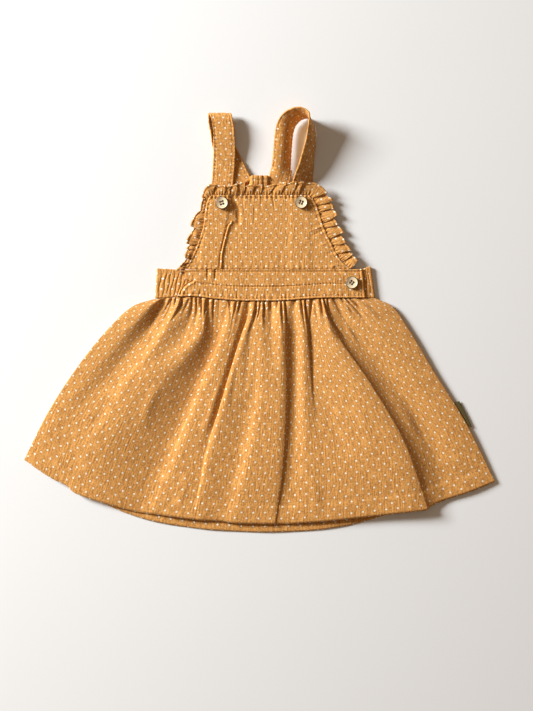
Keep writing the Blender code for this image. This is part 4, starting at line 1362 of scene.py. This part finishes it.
RUFFLE_ROWS = 26
print("frill:", len(FLAPS) - 1, "flaps")

# %% [markdown]
# The seam line runs up the bib's left side, across its top and down its right side. The
# ways out from it are smoothed, so that the frill turns the corners in a fan.

# %% Seam line of the frill
LEFT_START, RIGHT_END = 48.8, 50.6  # y of the frill's two ends
SIDE_POINTS = 60


def ruffle_root(count):
    """The seam line round the bib, the ways out from it and along it, and its length."""
    top = BIB_SIDES[0][0]
    left_rise = np.linspace(LEFT_START, top, SIDE_POINTS)
    right_rise = np.linspace(RIGHT_END, top, SIDE_POINTS)
    left = np.stack([bib_edge(left_rise, 1), left_rise], axis=1)
    right = np.stack([bib_edge(right_rise, 2), right_rise], axis=1)[::-1]
    across = np.linspace(BIB_SIDES[0][1], BIB_SIDES[0][2], SIDE_POINTS)[1:-1]
    upper = np.stack([across, np.full(len(across), top)], axis=1)
    line = np.concatenate([left, upper, right])
    length = np.concatenate([[0], np.cumsum(np.linalg.norm(np.diff(line, axis=0), axis=1))])
    share = np.linspace(0, 1, count)
    even = np.stack([np.interp(share * length[-1], length, line[:, k]) for k in (0, 1)], axis=1)
    along = np.gradient(even, axis=0)
    for _ in range(12 * (count // 160) ** 2):
        along[1:-1] = (along[:-2] + 2 * along[1:-1] + along[2:]) / 4
    along /= np.linalg.norm(along, axis=1, keepdims=True)
    out = np.stack([-along[:, 1], along[:, 0]], axis=1)
    return share, even + (SEAM_GAP + 0.15) * out, out, along, length[-1]


print("frill's seam:", round(ruffle_root(RUFFLE_COLUMNS)[-1]), "mm")

# %% [markdown]
# Each flap is a dome that rises gently from one slot and drops steeply into the next. A
# flap that leans the other way is the same dome turned round.

# %% Shape of a flap
DOME_TOP = 0.5  # share of a flap's width at which the dome is highest
DROP_START, DROP_WIDTH = 0.84, 0.16


def flap_shape(at, reach):
    """Dome height from 0 to 1 at places along the seam, and each place's own flap numbers."""
    table = np.array(FLAPS)
    order = np.arange(len(table))
    bowed = 1.5 * np.sin(2.4 * order) * np.sin(np.pi * reach)
    slots = table[:, 0] + table[:, 1] * (reach - 0.3) + bowed
    place = np.clip(np.interp(at, slots, order), 0, len(slots) - 1.001)
    number = place.astype(int)
    within = place - number
    lean = table[number, 3]
    within = np.where(lean < 0, 1 - within, within)
    dome = ease(within / DOME_TOP) ** 0.7 * (1 - ease((within - DROP_START) / DROP_WIDTH))
    swell = 0.8 + 0.3 * np.sin(2.6 * number + 3.5 * reach)
    return dome, swell * table[number, 2], lean, table[number, 4]


print("first flap, at its middle:", round(float(flap_shape(np.array([3.5]), 0.3)[0][0]), 2))

# %% [markdown]
# The frill is built row by row, from its free edge in to the seam. Towards the edge the
# flaps grow, lean along the seam and stand out further or less far. A narrow hem runs
# along the edge, and the last row dives under the bib's edge.

# %% Frill
RUFFLE_WIDTH = 11  # of the strip before it was gathered
HEM_RIDGE, HEM_GROOVE = 0.35, 0.3
WRINKLE = 0.3
SEAM_DIVE, SEAM_TUCK = 1.3, 1.2
START_SWING, START_FADE = 5.0, 5


def ruffle_points():
    """Points of the frill's upper face, and the length of its seam."""
    share, root, out, along, length = ruffle_root(RUFFLE_COLUMNS)
    width, seam_z, edge_z = follow(RUFFLE, share, slice(1, None)).T
    rows = []
    for reach in np.linspace(1, 0, RUFFLE_ROWS):
        dome, height, lean, far = flap_shape(share * length, reach)
        grown = 0.3 + 0.7 * ease(reach / 0.55)
        out_by = width * reach * (1 + (far - 0.97) * ease(reach) + 0.24 * (dome - 0.6) * reach)
        out_by = out_by - SEAM_TUCK * (1 - reach) ** 4
        start = START_SWING * reach * np.exp(-share * length / START_FADE)
        swung = lean * grown * (dome - 0.5) - start
        plan = root + out * out_by[:, None] + along * swung[:, None]
        z = seam_z + (edge_z - seam_z) * reach + height * grown * (dome - 0.45)
        z = z - SEAM_DIVE * (1 - reach) ** 6
        from_seam = reach * width
        z = z + HEM_RIDGE * bump(from_seam, width - 0.7, 0.6)
        z = z - HEM_GROOVE * bump(from_seam, width - 2.2, 0.7)
        wrinkle = np.sin(share * length * 2.4 + 3 * np.sin(share * 40))
        wrinkle = wrinkle * bump(from_seam, 1.5, 2.0)
        z = z + WRINKLE * wrinkle
        rows.append(np.column_stack([plan, np.maximum(z, RUFFLE_WALL + 0.05)]))
    return np.array(rows), length


ruffle, ruffle_seam = ruffle_points()
ruffle_under = normals_of(ruffle) * RUFFLE_WALL * 0.8
ruffle_inner = ruffle - ruffle_under
ruffle_inner[..., 2] = np.maximum(ruffle_inner[..., 2], 0.05)
ruffle_arc = arc_across(ruffle)[0]
ruffle_across = np.linspace(RUFFLE_WIDTH, 0, RUFFLE_ROWS)[:, None]
ruffle_uv = np.dstack(np.broadcast_arrays(ruffle_arc, ruffle_across))
shell("bib_ruffle_cloth", "bib_ruffle", ruffle, ruffle_inner, ruffle_uv)
print("frill:", round(ruffle_arc[-1]), "mm of cloth drawn up to", round(ruffle_seam), "mm")

# %% [markdown]
# ## Straps
#
# Each strap is a long strip folded in four and stitched 2 mm inside both edges, which
# leaves the edges a little proud and puckered. The left strap is folded flat at the
# shoulder. The right one stands on its edge in an open loop.

# %% Sections of a strap
STRAP_WALL = 1.6
STRAP_WIDTH = 22.0
FLAT_LIFT = 0.35  # a section that lifts less than this (radians) curls at one edge only
ONE_SIDED_CURL = 1.6


def strap_frame(table, count):
    """Middle line, heading, lift and curl of sections along a strap, and its length."""
    rows = np.array(table, float)
    steps = np.linalg.norm(np.diff(rows[:, :3], axis=0), axis=1)
    along = np.concatenate([[0], np.cumsum(steps)])
    at = smooth(along, rows, np.linspace(0, along[-1], count))
    return at[:, :3], *np.radians(at[:, 3:].T), along[-1]


def strap_lines(table, count, shares):
    """Lines along a strap at shares of its half width, and the face direction on each.

    The curl turns the strap further over towards its edges, so each section is an arc.
    """
    middle, heading, lift, curl, length = strap_frame(table, count)
    flat = np.stack([np.cos(heading), np.sin(heading), np.zeros(count)], axis=1)
    up = np.array([0.0, 0.0, 1.0])
    one_sided = np.abs(lift) < FLAT_LIFT
    lines, faces = [], []
    for share in shares:
        steps = np.linspace(0, share, 9)
        turned = [
            lift + curl * np.where(one_sided, max(step, 0) * ONE_SIDED_CURL, step)
            for step in steps
        ]
        reach = np.trapz(np.cos(turned), steps, axis=0)
        rise = np.trapz(np.sin(turned), steps, axis=0)
        half = STRAP_WIDTH / 2
        lines.append(middle + half * (reach[:, None] * flat + rise[:, None] * up))
        edge = np.cos(turned[-1])[:, None] * flat + np.sin(turned[-1])[:, None] * up
        face = np.cross(edge, np.gradient(middle, axis=0))
        faces.append(face / np.linalg.norm(face, axis=1, keepdims=True))
    return np.array(lines), np.array(faces), length


for side, table in (("left", STRAP_LEFT), ("right", STRAP_RIGHT)):
    print(f"{side} strap: {strap_frame(table, 2)[-1]:.0f} mm long")

# %% [markdown]
# A strap's two faces lie half its thickness either side of those lines. The stitches press
# both faces together, and the edge outside them is left thicker.

# %% Straps
STRAP_STITCH = 2.2  # from the edge to the line of stitches
STRAP_SECTIONS = 260
LINES_ACROSS = 29
STITCH_PRESS, EDGE_SWELL, EDGE_ROUND = 0.42, 0.2, 0.45
STRAP_PUCKER, STRAP_PUCKER_PITCH = 0.22, 4.4
STRAP_PRINT_SHIFT = 1.5


def strap_piece(name, node, table, seed):
    """Makes one strap from its table of sections."""
    shares = np.linspace(-1, 1, LINES_ACROSS)
    lines, faces, length = strap_lines(table, STRAP_SECTIONS, shares)
    along = np.linspace(0, length, STRAP_SECTIONS)
    outer, inner = [], []
    for share, line, face in zip(shares, lines, faces):
        across = share * STRAP_WIDTH / 2
        from_edge = STRAP_WIDTH / 2 - abs(across)
        half = STRAP_WALL / 2 - STITCH_PRESS * bump(from_edge, STRAP_STITCH, 0.8)
        half = half + EDGE_SWELL * bump(from_edge, 0.9, 0.7)
        half = half - EDGE_ROUND * ease(1 - from_edge / 0.6)
        from_seam = abs(from_edge - STRAP_STITCH)
        pucker = puckers(from_seam, along, STRAP_PUCKER_PITCH, seed + (share > 0))
        ripple = STRAP_PUCKER * pucker
        outer.append(line + face * (half + ripple)[:, None])
        inner.append(line - face * (half - ripple)[:, None])
    flat = np.broadcast_to(along, (len(shares), STRAP_SECTIONS))
    from_middle = np.broadcast_to(shares[:, None] * STRAP_WIDTH / 2, flat.shape)
    uv = np.dstack([from_middle + STRAP_PRINT_SHIFT, flat])
    shell(name, node, np.array(outer), np.array(inner), uv)


strap_piece("strap_left_cloth", "strap_left", STRAP_LEFT, 1.0)
strap_piece("strap_right_cloth", "strap_right", STRAP_RIGHT, 2.0)

# %% [markdown]
# ## The side label
#
# A scrap of olive tape is folded in half and caught in the right side seam.

# %% Label
LABEL_TOP, LABEL_BOTTOM = -82, -107  # y
LABEL_WIDTHS = (5.2, 2.8)  # at the top and at the bottom
LABEL_WALL = 1.0
LABEL_ROWS = 30
y = np.linspace(LABEL_TOP, LABEL_BOTTOM, LABEL_ROWS)
edge_line = folds(np.linspace(0, 1, 60), np.array([FOLD_AT[-2]]))[::-1, 0]
inner_x = np.interp(y, edge_line[:, 1], edge_line[:, 0]) + SEAM_GAP + 0.25
share = np.linspace(0, 1, 8)
width = np.linspace(*LABEL_WIDTHS, LABEL_ROWS)[:, None]
x = inner_x[:, None] + width * share
y = y[:, None] + np.linspace(1.0, 0.2, LABEL_ROWS)[:, None] * share
z = 0.8 + LABEL_WALL + 0.15 * np.sin(4 * share) + 0.25 * bump(width * (1 - share), 0.5, 0.5)
label = np.dstack([x, y, np.broadcast_to(z, x.shape)])
label_inner = label - (0, 0, LABEL_WALL)
label_uv = label[..., :2]
shell("side_label_tape", "side_label", label, label_inner, label_uv, TAPE, TAPE)

# %% [markdown]
# ## Buttons
#
# A shirt button is turned on a lathe: a raised rim, a dished middle and a few fine rings.
# So its profile is a short table of radii and heights, spun round the button's axis. Four
# holes are then drilled with a Boolean, the way the real ones are, and brown thread goes
# through them in two bars.

# %% Sizes and places of the buttons
BUTTON_WIDTH = 12.5
BUTTON_HEIGHT = 2.6
BUTTONS = (
    # name, x, y, turn in radians
    ("button_left", -37, 116.5, 0.3),
    ("button_right", 42, 117, 1.2),
    ("button_waist", 92.5, 37.2, 0.9),
)
PROFILE = (
    # share of the radius, share of the height
    (0.80, 0.0), (0.96, 0.1), (1.0, 0.3), (1.0, 0.66), (0.97, 0.88), (0.90, 1.0), (0.83, 0.98),
    (0.78, 0.88), (0.75, 0.84), (0.73, 0.87), (0.70, 0.87), (0.68, 0.82), (0.60, 0.76),
    (0.57, 0.78), (0.54, 0.78), (0.52, 0.74), (0.2, 0.72),
)


def button_base(x, y):
    """The height that a button rests at: just above the cloth below its rim."""
    if y < BIB_SIDES[-1][0]:
        return BAND_TOP + 0.25 + SEAM_GAP
    angle = np.linspace(0, 2 * np.pi, 25)
    reach = np.array([[0.0], [0.5], [0.8]]) * BUTTON_WIDTH / 2
    around = bib_height(x + reach * np.cos(angle), y + reach * np.sin(angle))
    return around.max() + SEAM_GAP


for name, x, y, _ in BUTTONS:
    print(f"{name} rests {button_base(x, y):.1f} mm up")

# %% [markdown]
# Turned shapes and drills are both stacks of rings with a cap at each end, so two small
# helpers make them, and a third turns the drilled result into a plain mesh.

# %% Rings, tubes and plain meshes


def ring_of(x, y, z, radius, sides):
    """Points round a level circle."""
    angle = 2 * np.pi * np.arange(sides) / sides
    across, up_down = x + radius * np.cos(angle), y + radius * np.sin(angle)
    return np.column_stack([across, up_down, np.full(sides, z)])


def tube_faces(rings, sides):
    """Side faces of stacked rings, and a cap at each end."""
    faces = []
    for level in range(rings - 1):
        for side in range(sides):
            here, there = level * sides + side, level * sides + (side + 1) % sides
            faces.append([here, there, there + sides, here + sides])
    faces.append(list(reversed(range(sides))))
    faces.append([(rings - 1) * sides + side for side in range(sides)])
    return faces


def as_plain_mesh(piece):
    """Turns the evaluated result of a piece's modifiers into its mesh, and drops them."""
    graph = bpy.context.evaluated_depsgraph_get()
    mesh = bpy.data.meshes.new_from_object(piece.evaluated_get(graph))
    piece.modifiers.clear()
    piece.data = mesh


print("faces of a tube of six sides:", len(tube_faces(2, 6)))

# %% [markdown]
# The drills are taller than the button, and are thrown away once the holes are cut. The
# outer edge below the rim takes the second material, a dark brown painted shadow round
# the button.

# %% Turn and drill the buttons
BUTTON_SIDES = 64
# Rows of faces from the underside that take the painted shadow of the edge.
SHADOW_ROWS = 5  # rows of faces with the husk, from the underside
HOLE_WIDTH = 2.2
HOLE_RING = 1.85  # from the button's middle to a hole's
HOLE_SIDES = 20
OVERSHOOT = 1  # of a drill, past both faces
SHARP_ANGLE = np.radians(40)


def button(name, x, y, turn):
    """Makes one button, and returns the height that it rests at."""
    base = button_base(x, y)
    rings = [
        ring_of(x, y, base + BUTTON_HEIGHT * up, BUTTON_WIDTH / 2 * out, BUTTON_SIDES)
        for out, up in PROFILE
    ]
    faces = tube_faces(len(PROFILE), BUTTON_SIDES)
    disc = mesh_piece(name + "_resin", np.concatenate(rings), faces, [RESIN, EDGE_SHADOW])
    # The lowest rows, the button's outer edge, are painted dark as its shadow.
    in_rim = (np.arange(len(faces)) < SHADOW_ROWS * BUTTON_SIDES).astype(np.int32)
    disc.data.polygons.foreach_set("material_index", in_rim)
    drills = []
    for hole in range(4):
        angle = turn + np.pi / 4 + hole * np.pi / 2
        hole_x = x + HOLE_RING * np.cos(angle)
        hole_y = y + HOLE_RING * np.sin(angle)
        ends = [
            ring_of(hole_x, hole_y, base + z, HOLE_WIDTH / 2, HOLE_SIDES)
            for z in (-OVERSHOOT, BUTTON_HEIGHT + OVERSHOOT)
        ]
        tube = tube_faces(2, HOLE_SIDES)
        drill = mesh_piece(f"{name}_drill_{hole}", np.concatenate(ends), tube, [RESIN])
        cut = disc.modifiers.new(drill.name, "BOOLEAN")
        cut.object = drill
        cut.operation = "DIFFERENCE"
        drills.append(drill)
    as_plain_mesh(disc)
    for drill in drills:
        bpy.data.objects.remove(drill)
    disc.data.shade_smooth()
    disc.data.set_sharp_from_angle(angle=SHARP_ANGLE)
    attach(disc, "root")
    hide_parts(name)
    print(f"{name}: {len(disc.data.polygons)} faces")
    return base


button_bases = {name: button(name, x, y, turn) for name, x, y, turn in BUTTONS}

# %% [markdown]
# ## Stitches
#
# A line of machine stitches is one short lens of thread after another, each lying along
# the seam. That is what Geometry Nodes do best: the tree takes a line, spaces points along
# it, puts a stitch on each, turns it along the line and varies it a little with a fixed
# seed. The same tree sews every seam of the dress, and button thread too.

# %% A tree that sews along a line
INPUTS = (
    # name and kind of each input of the tree
    ("Line", "NodeSocketGeometry"),
    ("Stitch length", "NodeSocketFloat"),
    ("Gap", "NodeSocketFloat"),
    ("Thread radius", "NodeSocketFloat"),
    ("Thread", "NodeSocketMaterial"),
)
LOOSENESS = 0.09  # radians that a stitch may lean off the line
SMALLEST, LARGEST = (0.9, 0.9, 0.88), (1.1, 1.1, 1.06)
LEAN_SEED, SIZE_SEED = 3, 8


def new_stitch_tree():
    """An empty node group with the sewing tree's named inputs and its output."""
    tree = bpy.data.node_groups.new("Run of stitches", "GeometryNodeTree")
    for name, kind in INPUTS:
        tree.interface.new_socket(name, in_out="INPUT", socket_type=kind)
    tree.interface.new_socket("Stitches", in_out="OUTPUT", socket_type="NodeSocketGeometry")
    return tree


STITCHES = new_stitch_tree()
SOCKET = {item.name: item.identifier for item in STITCHES.interface.items_tree}
print("inputs of the sewing tree:", ", ".join(name for name, _ in INPUTS))

# %% [markdown]
# Two parts of the tree come first: how each stitch is turned, and how large it is. Both
# vary a little from stitch to stitch.

# %% Turn and size of the stitches


def stitch_turns(tree, tangent):
    """A turn for each stitch: along the line, and a little loose."""
    along = add(
        tree, "FunctionNodeAlignRotationToVector", {"axis": "Z"}, {"Vector": tangent}
    ).outputs[0]
    loose = add(
        tree,
        "FunctionNodeRandomValue",
        {"data_type": "FLOAT_VECTOR"},
        {
            "Min": (-LOOSENESS, -LOOSENESS, 0),
            "Max": (LOOSENESS, LOOSENESS, 0),
            "Seed": LEAN_SEED,
        },
    ).outputs["Value"]
    return add(
        tree,
        "FunctionNodeRotateRotation",
        {"rotation_space": "LOCAL"},
        {"Rotation": along, "Rotate By": loose},
    ).outputs[0]


def stitch_sizes(tree, length, radius):
    """A size for each stitch: half its length, the thread's radius, and a little uneven."""
    half = add(tree, "ShaderNodeMath", {"operation": "MULTIPLY"}, {0: length, 1: 0.5}).outputs[0]
    shape = add(
        tree, "ShaderNodeCombineXYZ", inputs={"X": radius, "Y": radius, "Z": half}
    ).outputs[0]
    uneven_size = add(
        tree,
        "FunctionNodeRandomValue",
        {"data_type": "FLOAT_VECTOR"},
        {"Min": SMALLEST, "Max": LARGEST, "Seed": SIZE_SEED},
    ).outputs["Value"]
    return add(
        tree, "ShaderNodeVectorMath", {"operation": "MULTIPLY"}, {0: shape, 1: uneven_size}
    ).outputs[0]


print("a stitch leans up to", round(np.degrees(LOOSENESS), 1), "degrees off its line")

# %% [markdown]
# A stitch is a small ball with few faces, stretched into a lens. The tree spaces points
# along the line, puts a stitch on each, and ends by making the copies real and giving them
# the thread's material, so that they can be exported.

# %% Stitches from a line
LENS_SEGMENTS, LENS_RINGS = 6, 4


def fill_stitch_tree(tree):
    """Nodes that turn a curve into a run of thread stitches."""
    source = add(tree, "NodeGroupInput").outputs
    pitch = add(
        tree,
        "ShaderNodeMath",
        {"operation": "ADD"},
        {0: source["Stitch length"], 1: source["Gap"]},
    ).outputs[0]
    spaced = add(
        tree,
        "GeometryNodeCurveToPoints",
        {"mode": "LENGTH"},
        {"Curve": source["Line"], "Length": pitch},
    ).outputs
    ball = add(
        tree,
        "GeometryNodeMeshUVSphere",
        inputs={"Segments": LENS_SEGMENTS, "Rings": LENS_RINGS, "Radius": 1.0},
    ).outputs["Mesh"]
    placed = add(
        tree,
        "GeometryNodeInstanceOnPoints",
        inputs={
            "Points": spaced["Points"],
            "Instance": ball,
            "Rotation": stitch_turns(tree, spaced["Tangent"]),
            "Scale": stitch_sizes(tree, source["Stitch length"], source["Thread radius"]),
        },
    ).outputs[0]
    real = add(tree, "GeometryNodeRealizeInstances", inputs={"Geometry": placed}).outputs[0]
    threaded = add(
        tree, "GeometryNodeSetMaterial", inputs={"Geometry": real, "Material": source["Thread"]}
    ).outputs[0]
    add(tree, "NodeGroupOutput", inputs={"Stitches": threaded})


fill_stitch_tree(STITCHES)
print("nodes in the sewing tree:", len(STITCHES.nodes))

# %% [markdown]
# `sew` runs the tree on lines of points. The result becomes a plain mesh of its own, which
# rides with the cloth.

# %% Sew along lines
STITCH_FACES = LENS_SEGMENTS * LENS_RINGS


def sew(name, lines, length=2.4, gap=0.8, radius=0.24, thread=THREAD):
    """Sews along lines of points (mm), and keeps the result as one plain mesh."""
    curve = bpy.data.curves.new(name + "_line", "CURVE")
    curve.dimensions = "3D"
    for line in lines:
        spline = curve.splines.new("POLY")
        spline.points.add(len(line) - 1)
        points = (np.asarray(line, float) - MIDDLE) * MM
        spline.points.foreach_set("co", np.column_stack([points, np.ones(len(points))]).ravel())
    guide = in_scene(name + "_line", curve)
    sewing = guide.modifiers.new("sewing", "NODES")
    sewing.node_group = STITCHES
    sewing[SOCKET["Stitch length"]] = length * MM
    sewing[SOCKET["Gap"]] = gap * MM
    sewing[SOCKET["Thread radius"]] = radius * MM
    sewing[SOCKET["Thread"]] = thread
    graph = bpy.context.evaluated_depsgraph_get()
    mesh = bpy.data.meshes.new_from_object(guide.evaluated_get(graph))
    guide.modifiers.remove(sewing)
    bpy.data.objects.remove(guide)
    mesh.shade_smooth()
    piece = in_scene(name, mesh)
    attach(piece, "root")
    print(f"{name}: {len(mesh.polygons) // STITCH_FACES} stitches")


print("faces of a stitch:", STITCH_FACES)

# %% [markdown]
# The seams are then a list of lines read off the pieces that are already there: a row or a
# column of a panel's own grid, raised by half a thread's radius so that the stitches lie on
# the cloth and sink into it a little.

# %% Lines on a panel
LIE = 0.12  # how far a line of thread is raised off the cloth


def row_at(grid, values, at, start=0, stop=None):
    """The line across a grid where its rows' values reach `at`, raised to lie on the cloth."""
    i = int(np.argmin(np.abs(np.asarray(values) - at)))
    return grid[i, start:stop] + (0, 0, LIE)


def inside_edges(grid, distance):
    """Lines inside the left and right edges of a panel, `distance` from them."""
    lines = []
    for edge in (0, -1):
        reach = np.abs(grid[:, :, 0] - grid[:, [edge], 0])
        pick = np.argmin(np.abs(reach - distance), axis=1)
        lines.append(grid[np.arange(len(grid)), pick] + (0, 0, LIE))
    return lines


hem_line = row_at(skirt, from_hem[:, 0], HEM_DEPTH, 9, -9)
print("hem stitches start at x", round(hem_line[0, 0]), "mm")

# %% [markdown]
# The hem, the band's middle and lower edge, and three sides of the bib are sewn with the
# same long stitch.

# %% Sew the skirt, the band and the bib
MIDDLE_SHARE, LOW_SHARE = 0.5, 0.9  # of the way down the band
sew("skirt_hem_stitches", [hem_line], radius=0.2)
middle_line = front_band_points(np.array([MIDDLE_SHARE, 0.52]), np.linspace(0.06, 0.93, 300))[0]
low_line = front_band_points(np.array([LOW_SHARE, 0.91]), np.linspace(0.01, 0.99, 300))[0]
sew("waistband_stitches", [middle_line + (0, 0, LIE), low_line + (0, 0, LIE)])
bib_lines = inside_edges(bib, BIB_STITCH_INSET)
bib_lines += [row_at(bib, bib_top - bib[:, 0, 1], BIB_STITCH_INSET, 6, -6)]
sew("bib_stitches", bib_lines)

# %% [markdown]
# A strap shows both its faces where it stands up, so it is sewn on both. The frill and the
# label take a shorter and finer stitch.

# %% Sew the straps, the frill and the label
STRAP_THREAD_SINK = 0.3
strap_seams = []
stitched = 1 - STRAP_STITCH / (STRAP_WIDTH / 2)
for table in (STRAP_LEFT, STRAP_RIGHT):
    lines, faces, _ = strap_lines(table, 240, (-stitched, stitched))
    for line, face in zip(lines, faces):
        for turned in (-1, 1):
            strap_seams.append(line + face * turned * (STRAP_WALL / 2 - STRAP_THREAD_SINK))
sew("strap_stitches", strap_seams)
frill_line = row_at(ruffle, np.linspace(1, 0, RUFFLE_ROWS), 0.13)
sew("frill_stitches", [frill_line], length=1.6, gap=0.6, radius=0.16)
label_line = label[:, 1] + (0, 0, LIE)
sew("label_stitches", [label_line], length=1.5, gap=0.5, radius=0.18)

# %% [markdown]
# Each button is held by two bars of brown thread. The ends of a bar go down into the holes.

# %% Button thread
STRANDS = (-0.22, 0, 0.22)  # three strands side by side in each bar
BAR_REACH, BAR_ASIDE = 1.62, 1.24  # of a bar's ends from the button's middle
BAR_SINK = 0.75  # how deep the ends go into the holes
THREAD_RISE = 0.2  # above the button's dished middle


def bar(x, y, z, turn):
    """Short lines of thread from hole to hole, over the middle of a button."""
    turning = np.array([[np.cos(turn), -np.sin(turn)], [np.sin(turn), np.cos(turn)]])
    share = np.linspace(0, 1, 9)[:, None]
    sink = -BAR_SINK * np.abs(2 * share - 1) ** 6
    lines = []
    for side in (-1, 1):
        for strand in STRANDS:
            aside = side * BAR_ASIDE + strand
            start, end = (turning @ (along, aside) for along in (-BAR_REACH, BAR_REACH))
            flat = start + (end - start) * share
            lines.append(np.hstack([flat + (x, y), z + sink]))
    return lines


thread_lines = []
for name, x, y, turn in BUTTONS:
    dished = button_bases[name] + PROFILE[-1][1] * BUTTON_HEIGHT
    thread_lines += bar(x, y, dished + THREAD_RISE, turn)
sew("button_threads", thread_lines, length=0.9, gap=-0.25, radius=0.17, thread=BROWN_THREAD)

# %% [markdown]
# The waist button's hole shows beside it: a slit, whipped round with thread so closely that
# the stitches overlap.

# %% Buttonhole
HOLE_START, HOLE_END, HOLE_SLIT = (91, 36.5), (101.5, 40.2), 2.0


def buttonhole(start, end, width, z):
    """A long thin oval round a slit."""
    angle = np.linspace(0, 2 * np.pi, 60)
    middle = (np.array(start) + end) / 2
    long_way = (np.array(end) - start) / 2
    short_way = width / 2 * np.array([-long_way[1], long_way[0]]) / np.linalg.norm(long_way)
    flat = middle + np.cos(angle)[:, None] * long_way + np.sin(angle)[:, None] * short_way
    return np.column_stack([flat, np.full(len(flat), z)])


slit = buttonhole(HOLE_START, HOLE_END, HOLE_SLIT, BAND_TOP + 0.3)
sew("buttonhole_stitches", [slit], length=0.8, gap=-0.3, radius=0.4)

# %% [markdown]
# ## Table, light and camera
#
# The dress lies on a pale table. One large soft light stands low at the upper left, so
# that every fold shows a lit side and a shaded one, and the room fills in the rest. The
# camera hangs straight above.

# %% Table top
REACH = 12  # metres each way
JUST_BELOW = -0.0002
floor_mesh = bpy.data.meshes.new("table_top")
corners = [(-REACH, -REACH, 0), (REACH, -REACH, 0), (REACH, REACH, 0), (-REACH, REACH, 0)]
floor_mesh.from_pydata(corners, [], [(0, 1, 2, 3)])
floor = in_scene("table_top", floor_mesh)
floor.location.z = JUST_BELOW
paint, tree = new_material("White lacquered board")
grain = add(tree, "ShaderNodeTexNoise", inputs={"Scale": 60.0, "Detail": 2.0}).outputs[0]
tint = add(
    tree,
    "ShaderNodeMix",
    {"data_type": "RGBA"},
    {"Factor": grain, "A": colour("E9F1FC"), "B": colour("EFF5FF")},
).outputs["Result"]
lacquer = add(tree, "ShaderNodeBsdfPrincipled", inputs={"Base Color": tint, "Roughness": 0.75})
finish_surface(tree, lacquer)
floor_mesh.materials.append(paint)
print("table top:", paint.name)

# %% [markdown]
# The window is one square area light, aimed at the middle of the dress. Its light is nearly
# white, and the room's is warm and weak.

# %% Light from a window, and the room round it
WINDOW_AT = np.array([-2.4, 1.12, 1.06])  # metres
WINDOW_SIZE = 0.84
WINDOW_POWER = 182
ROOM_STRENGTH = 0.24
light = bpy.data.lights.new("window", "AREA")
light.size = WINDOW_SIZE
light.energy = WINDOW_POWER
light.color = colour("FFFCF4")[:3]
lamp = in_scene("window", light)
lamp.location = WINDOW_AT
yaw = np.arctan2(-WINDOW_AT[1], -WINDOW_AT[0])
pitch = np.arctan2(WINDOW_AT[2], np.hypot(WINDOW_AT[0], WINDOW_AT[1]))
lamp.rotation_euler = (np.pi / 2 - pitch, 0, yaw - np.pi / 2)
world = bpy.data.worlds.new("room")
world.use_nodes = True
background = world.node_tree.nodes["Background"]
background.inputs["Color"].default_value = colour("FFD8B0")
background.inputs["Strength"].default_value = ROOM_STRENGTH
bpy.context.scene.world = world
bpy.context.scene.view_settings.view_transform = "Standard"
print("window light comes down at", round(np.degrees(pitch)), "degrees")

# %% [markdown]
# The camera has a long lens and hangs well above the table, so that high folds don't look
# larger than low ones.

# %% Camera straight above
VIEW_CENTRE = (7.5, -35.5)
VIEW_HEIGHT = 711  # of table, from the top of the view to its foot
LENS = 85
SENSOR = 36
lens = bpy.data.cameras.new("camera")
lens.lens = LENS
lens.sensor_width = SENSOR
camera = in_scene("camera", lens)
camera.location = (
    (VIEW_CENTRE[0] - MIDDLE[0]) * MM,
    (VIEW_CENTRE[1] - MIDDLE[1]) * MM,
    VIEW_HEIGHT * MM * LENS / SENSOR,
)
bpy.context.scene.camera = camera
print("camera:", round(camera.location.z, 2), "m up")
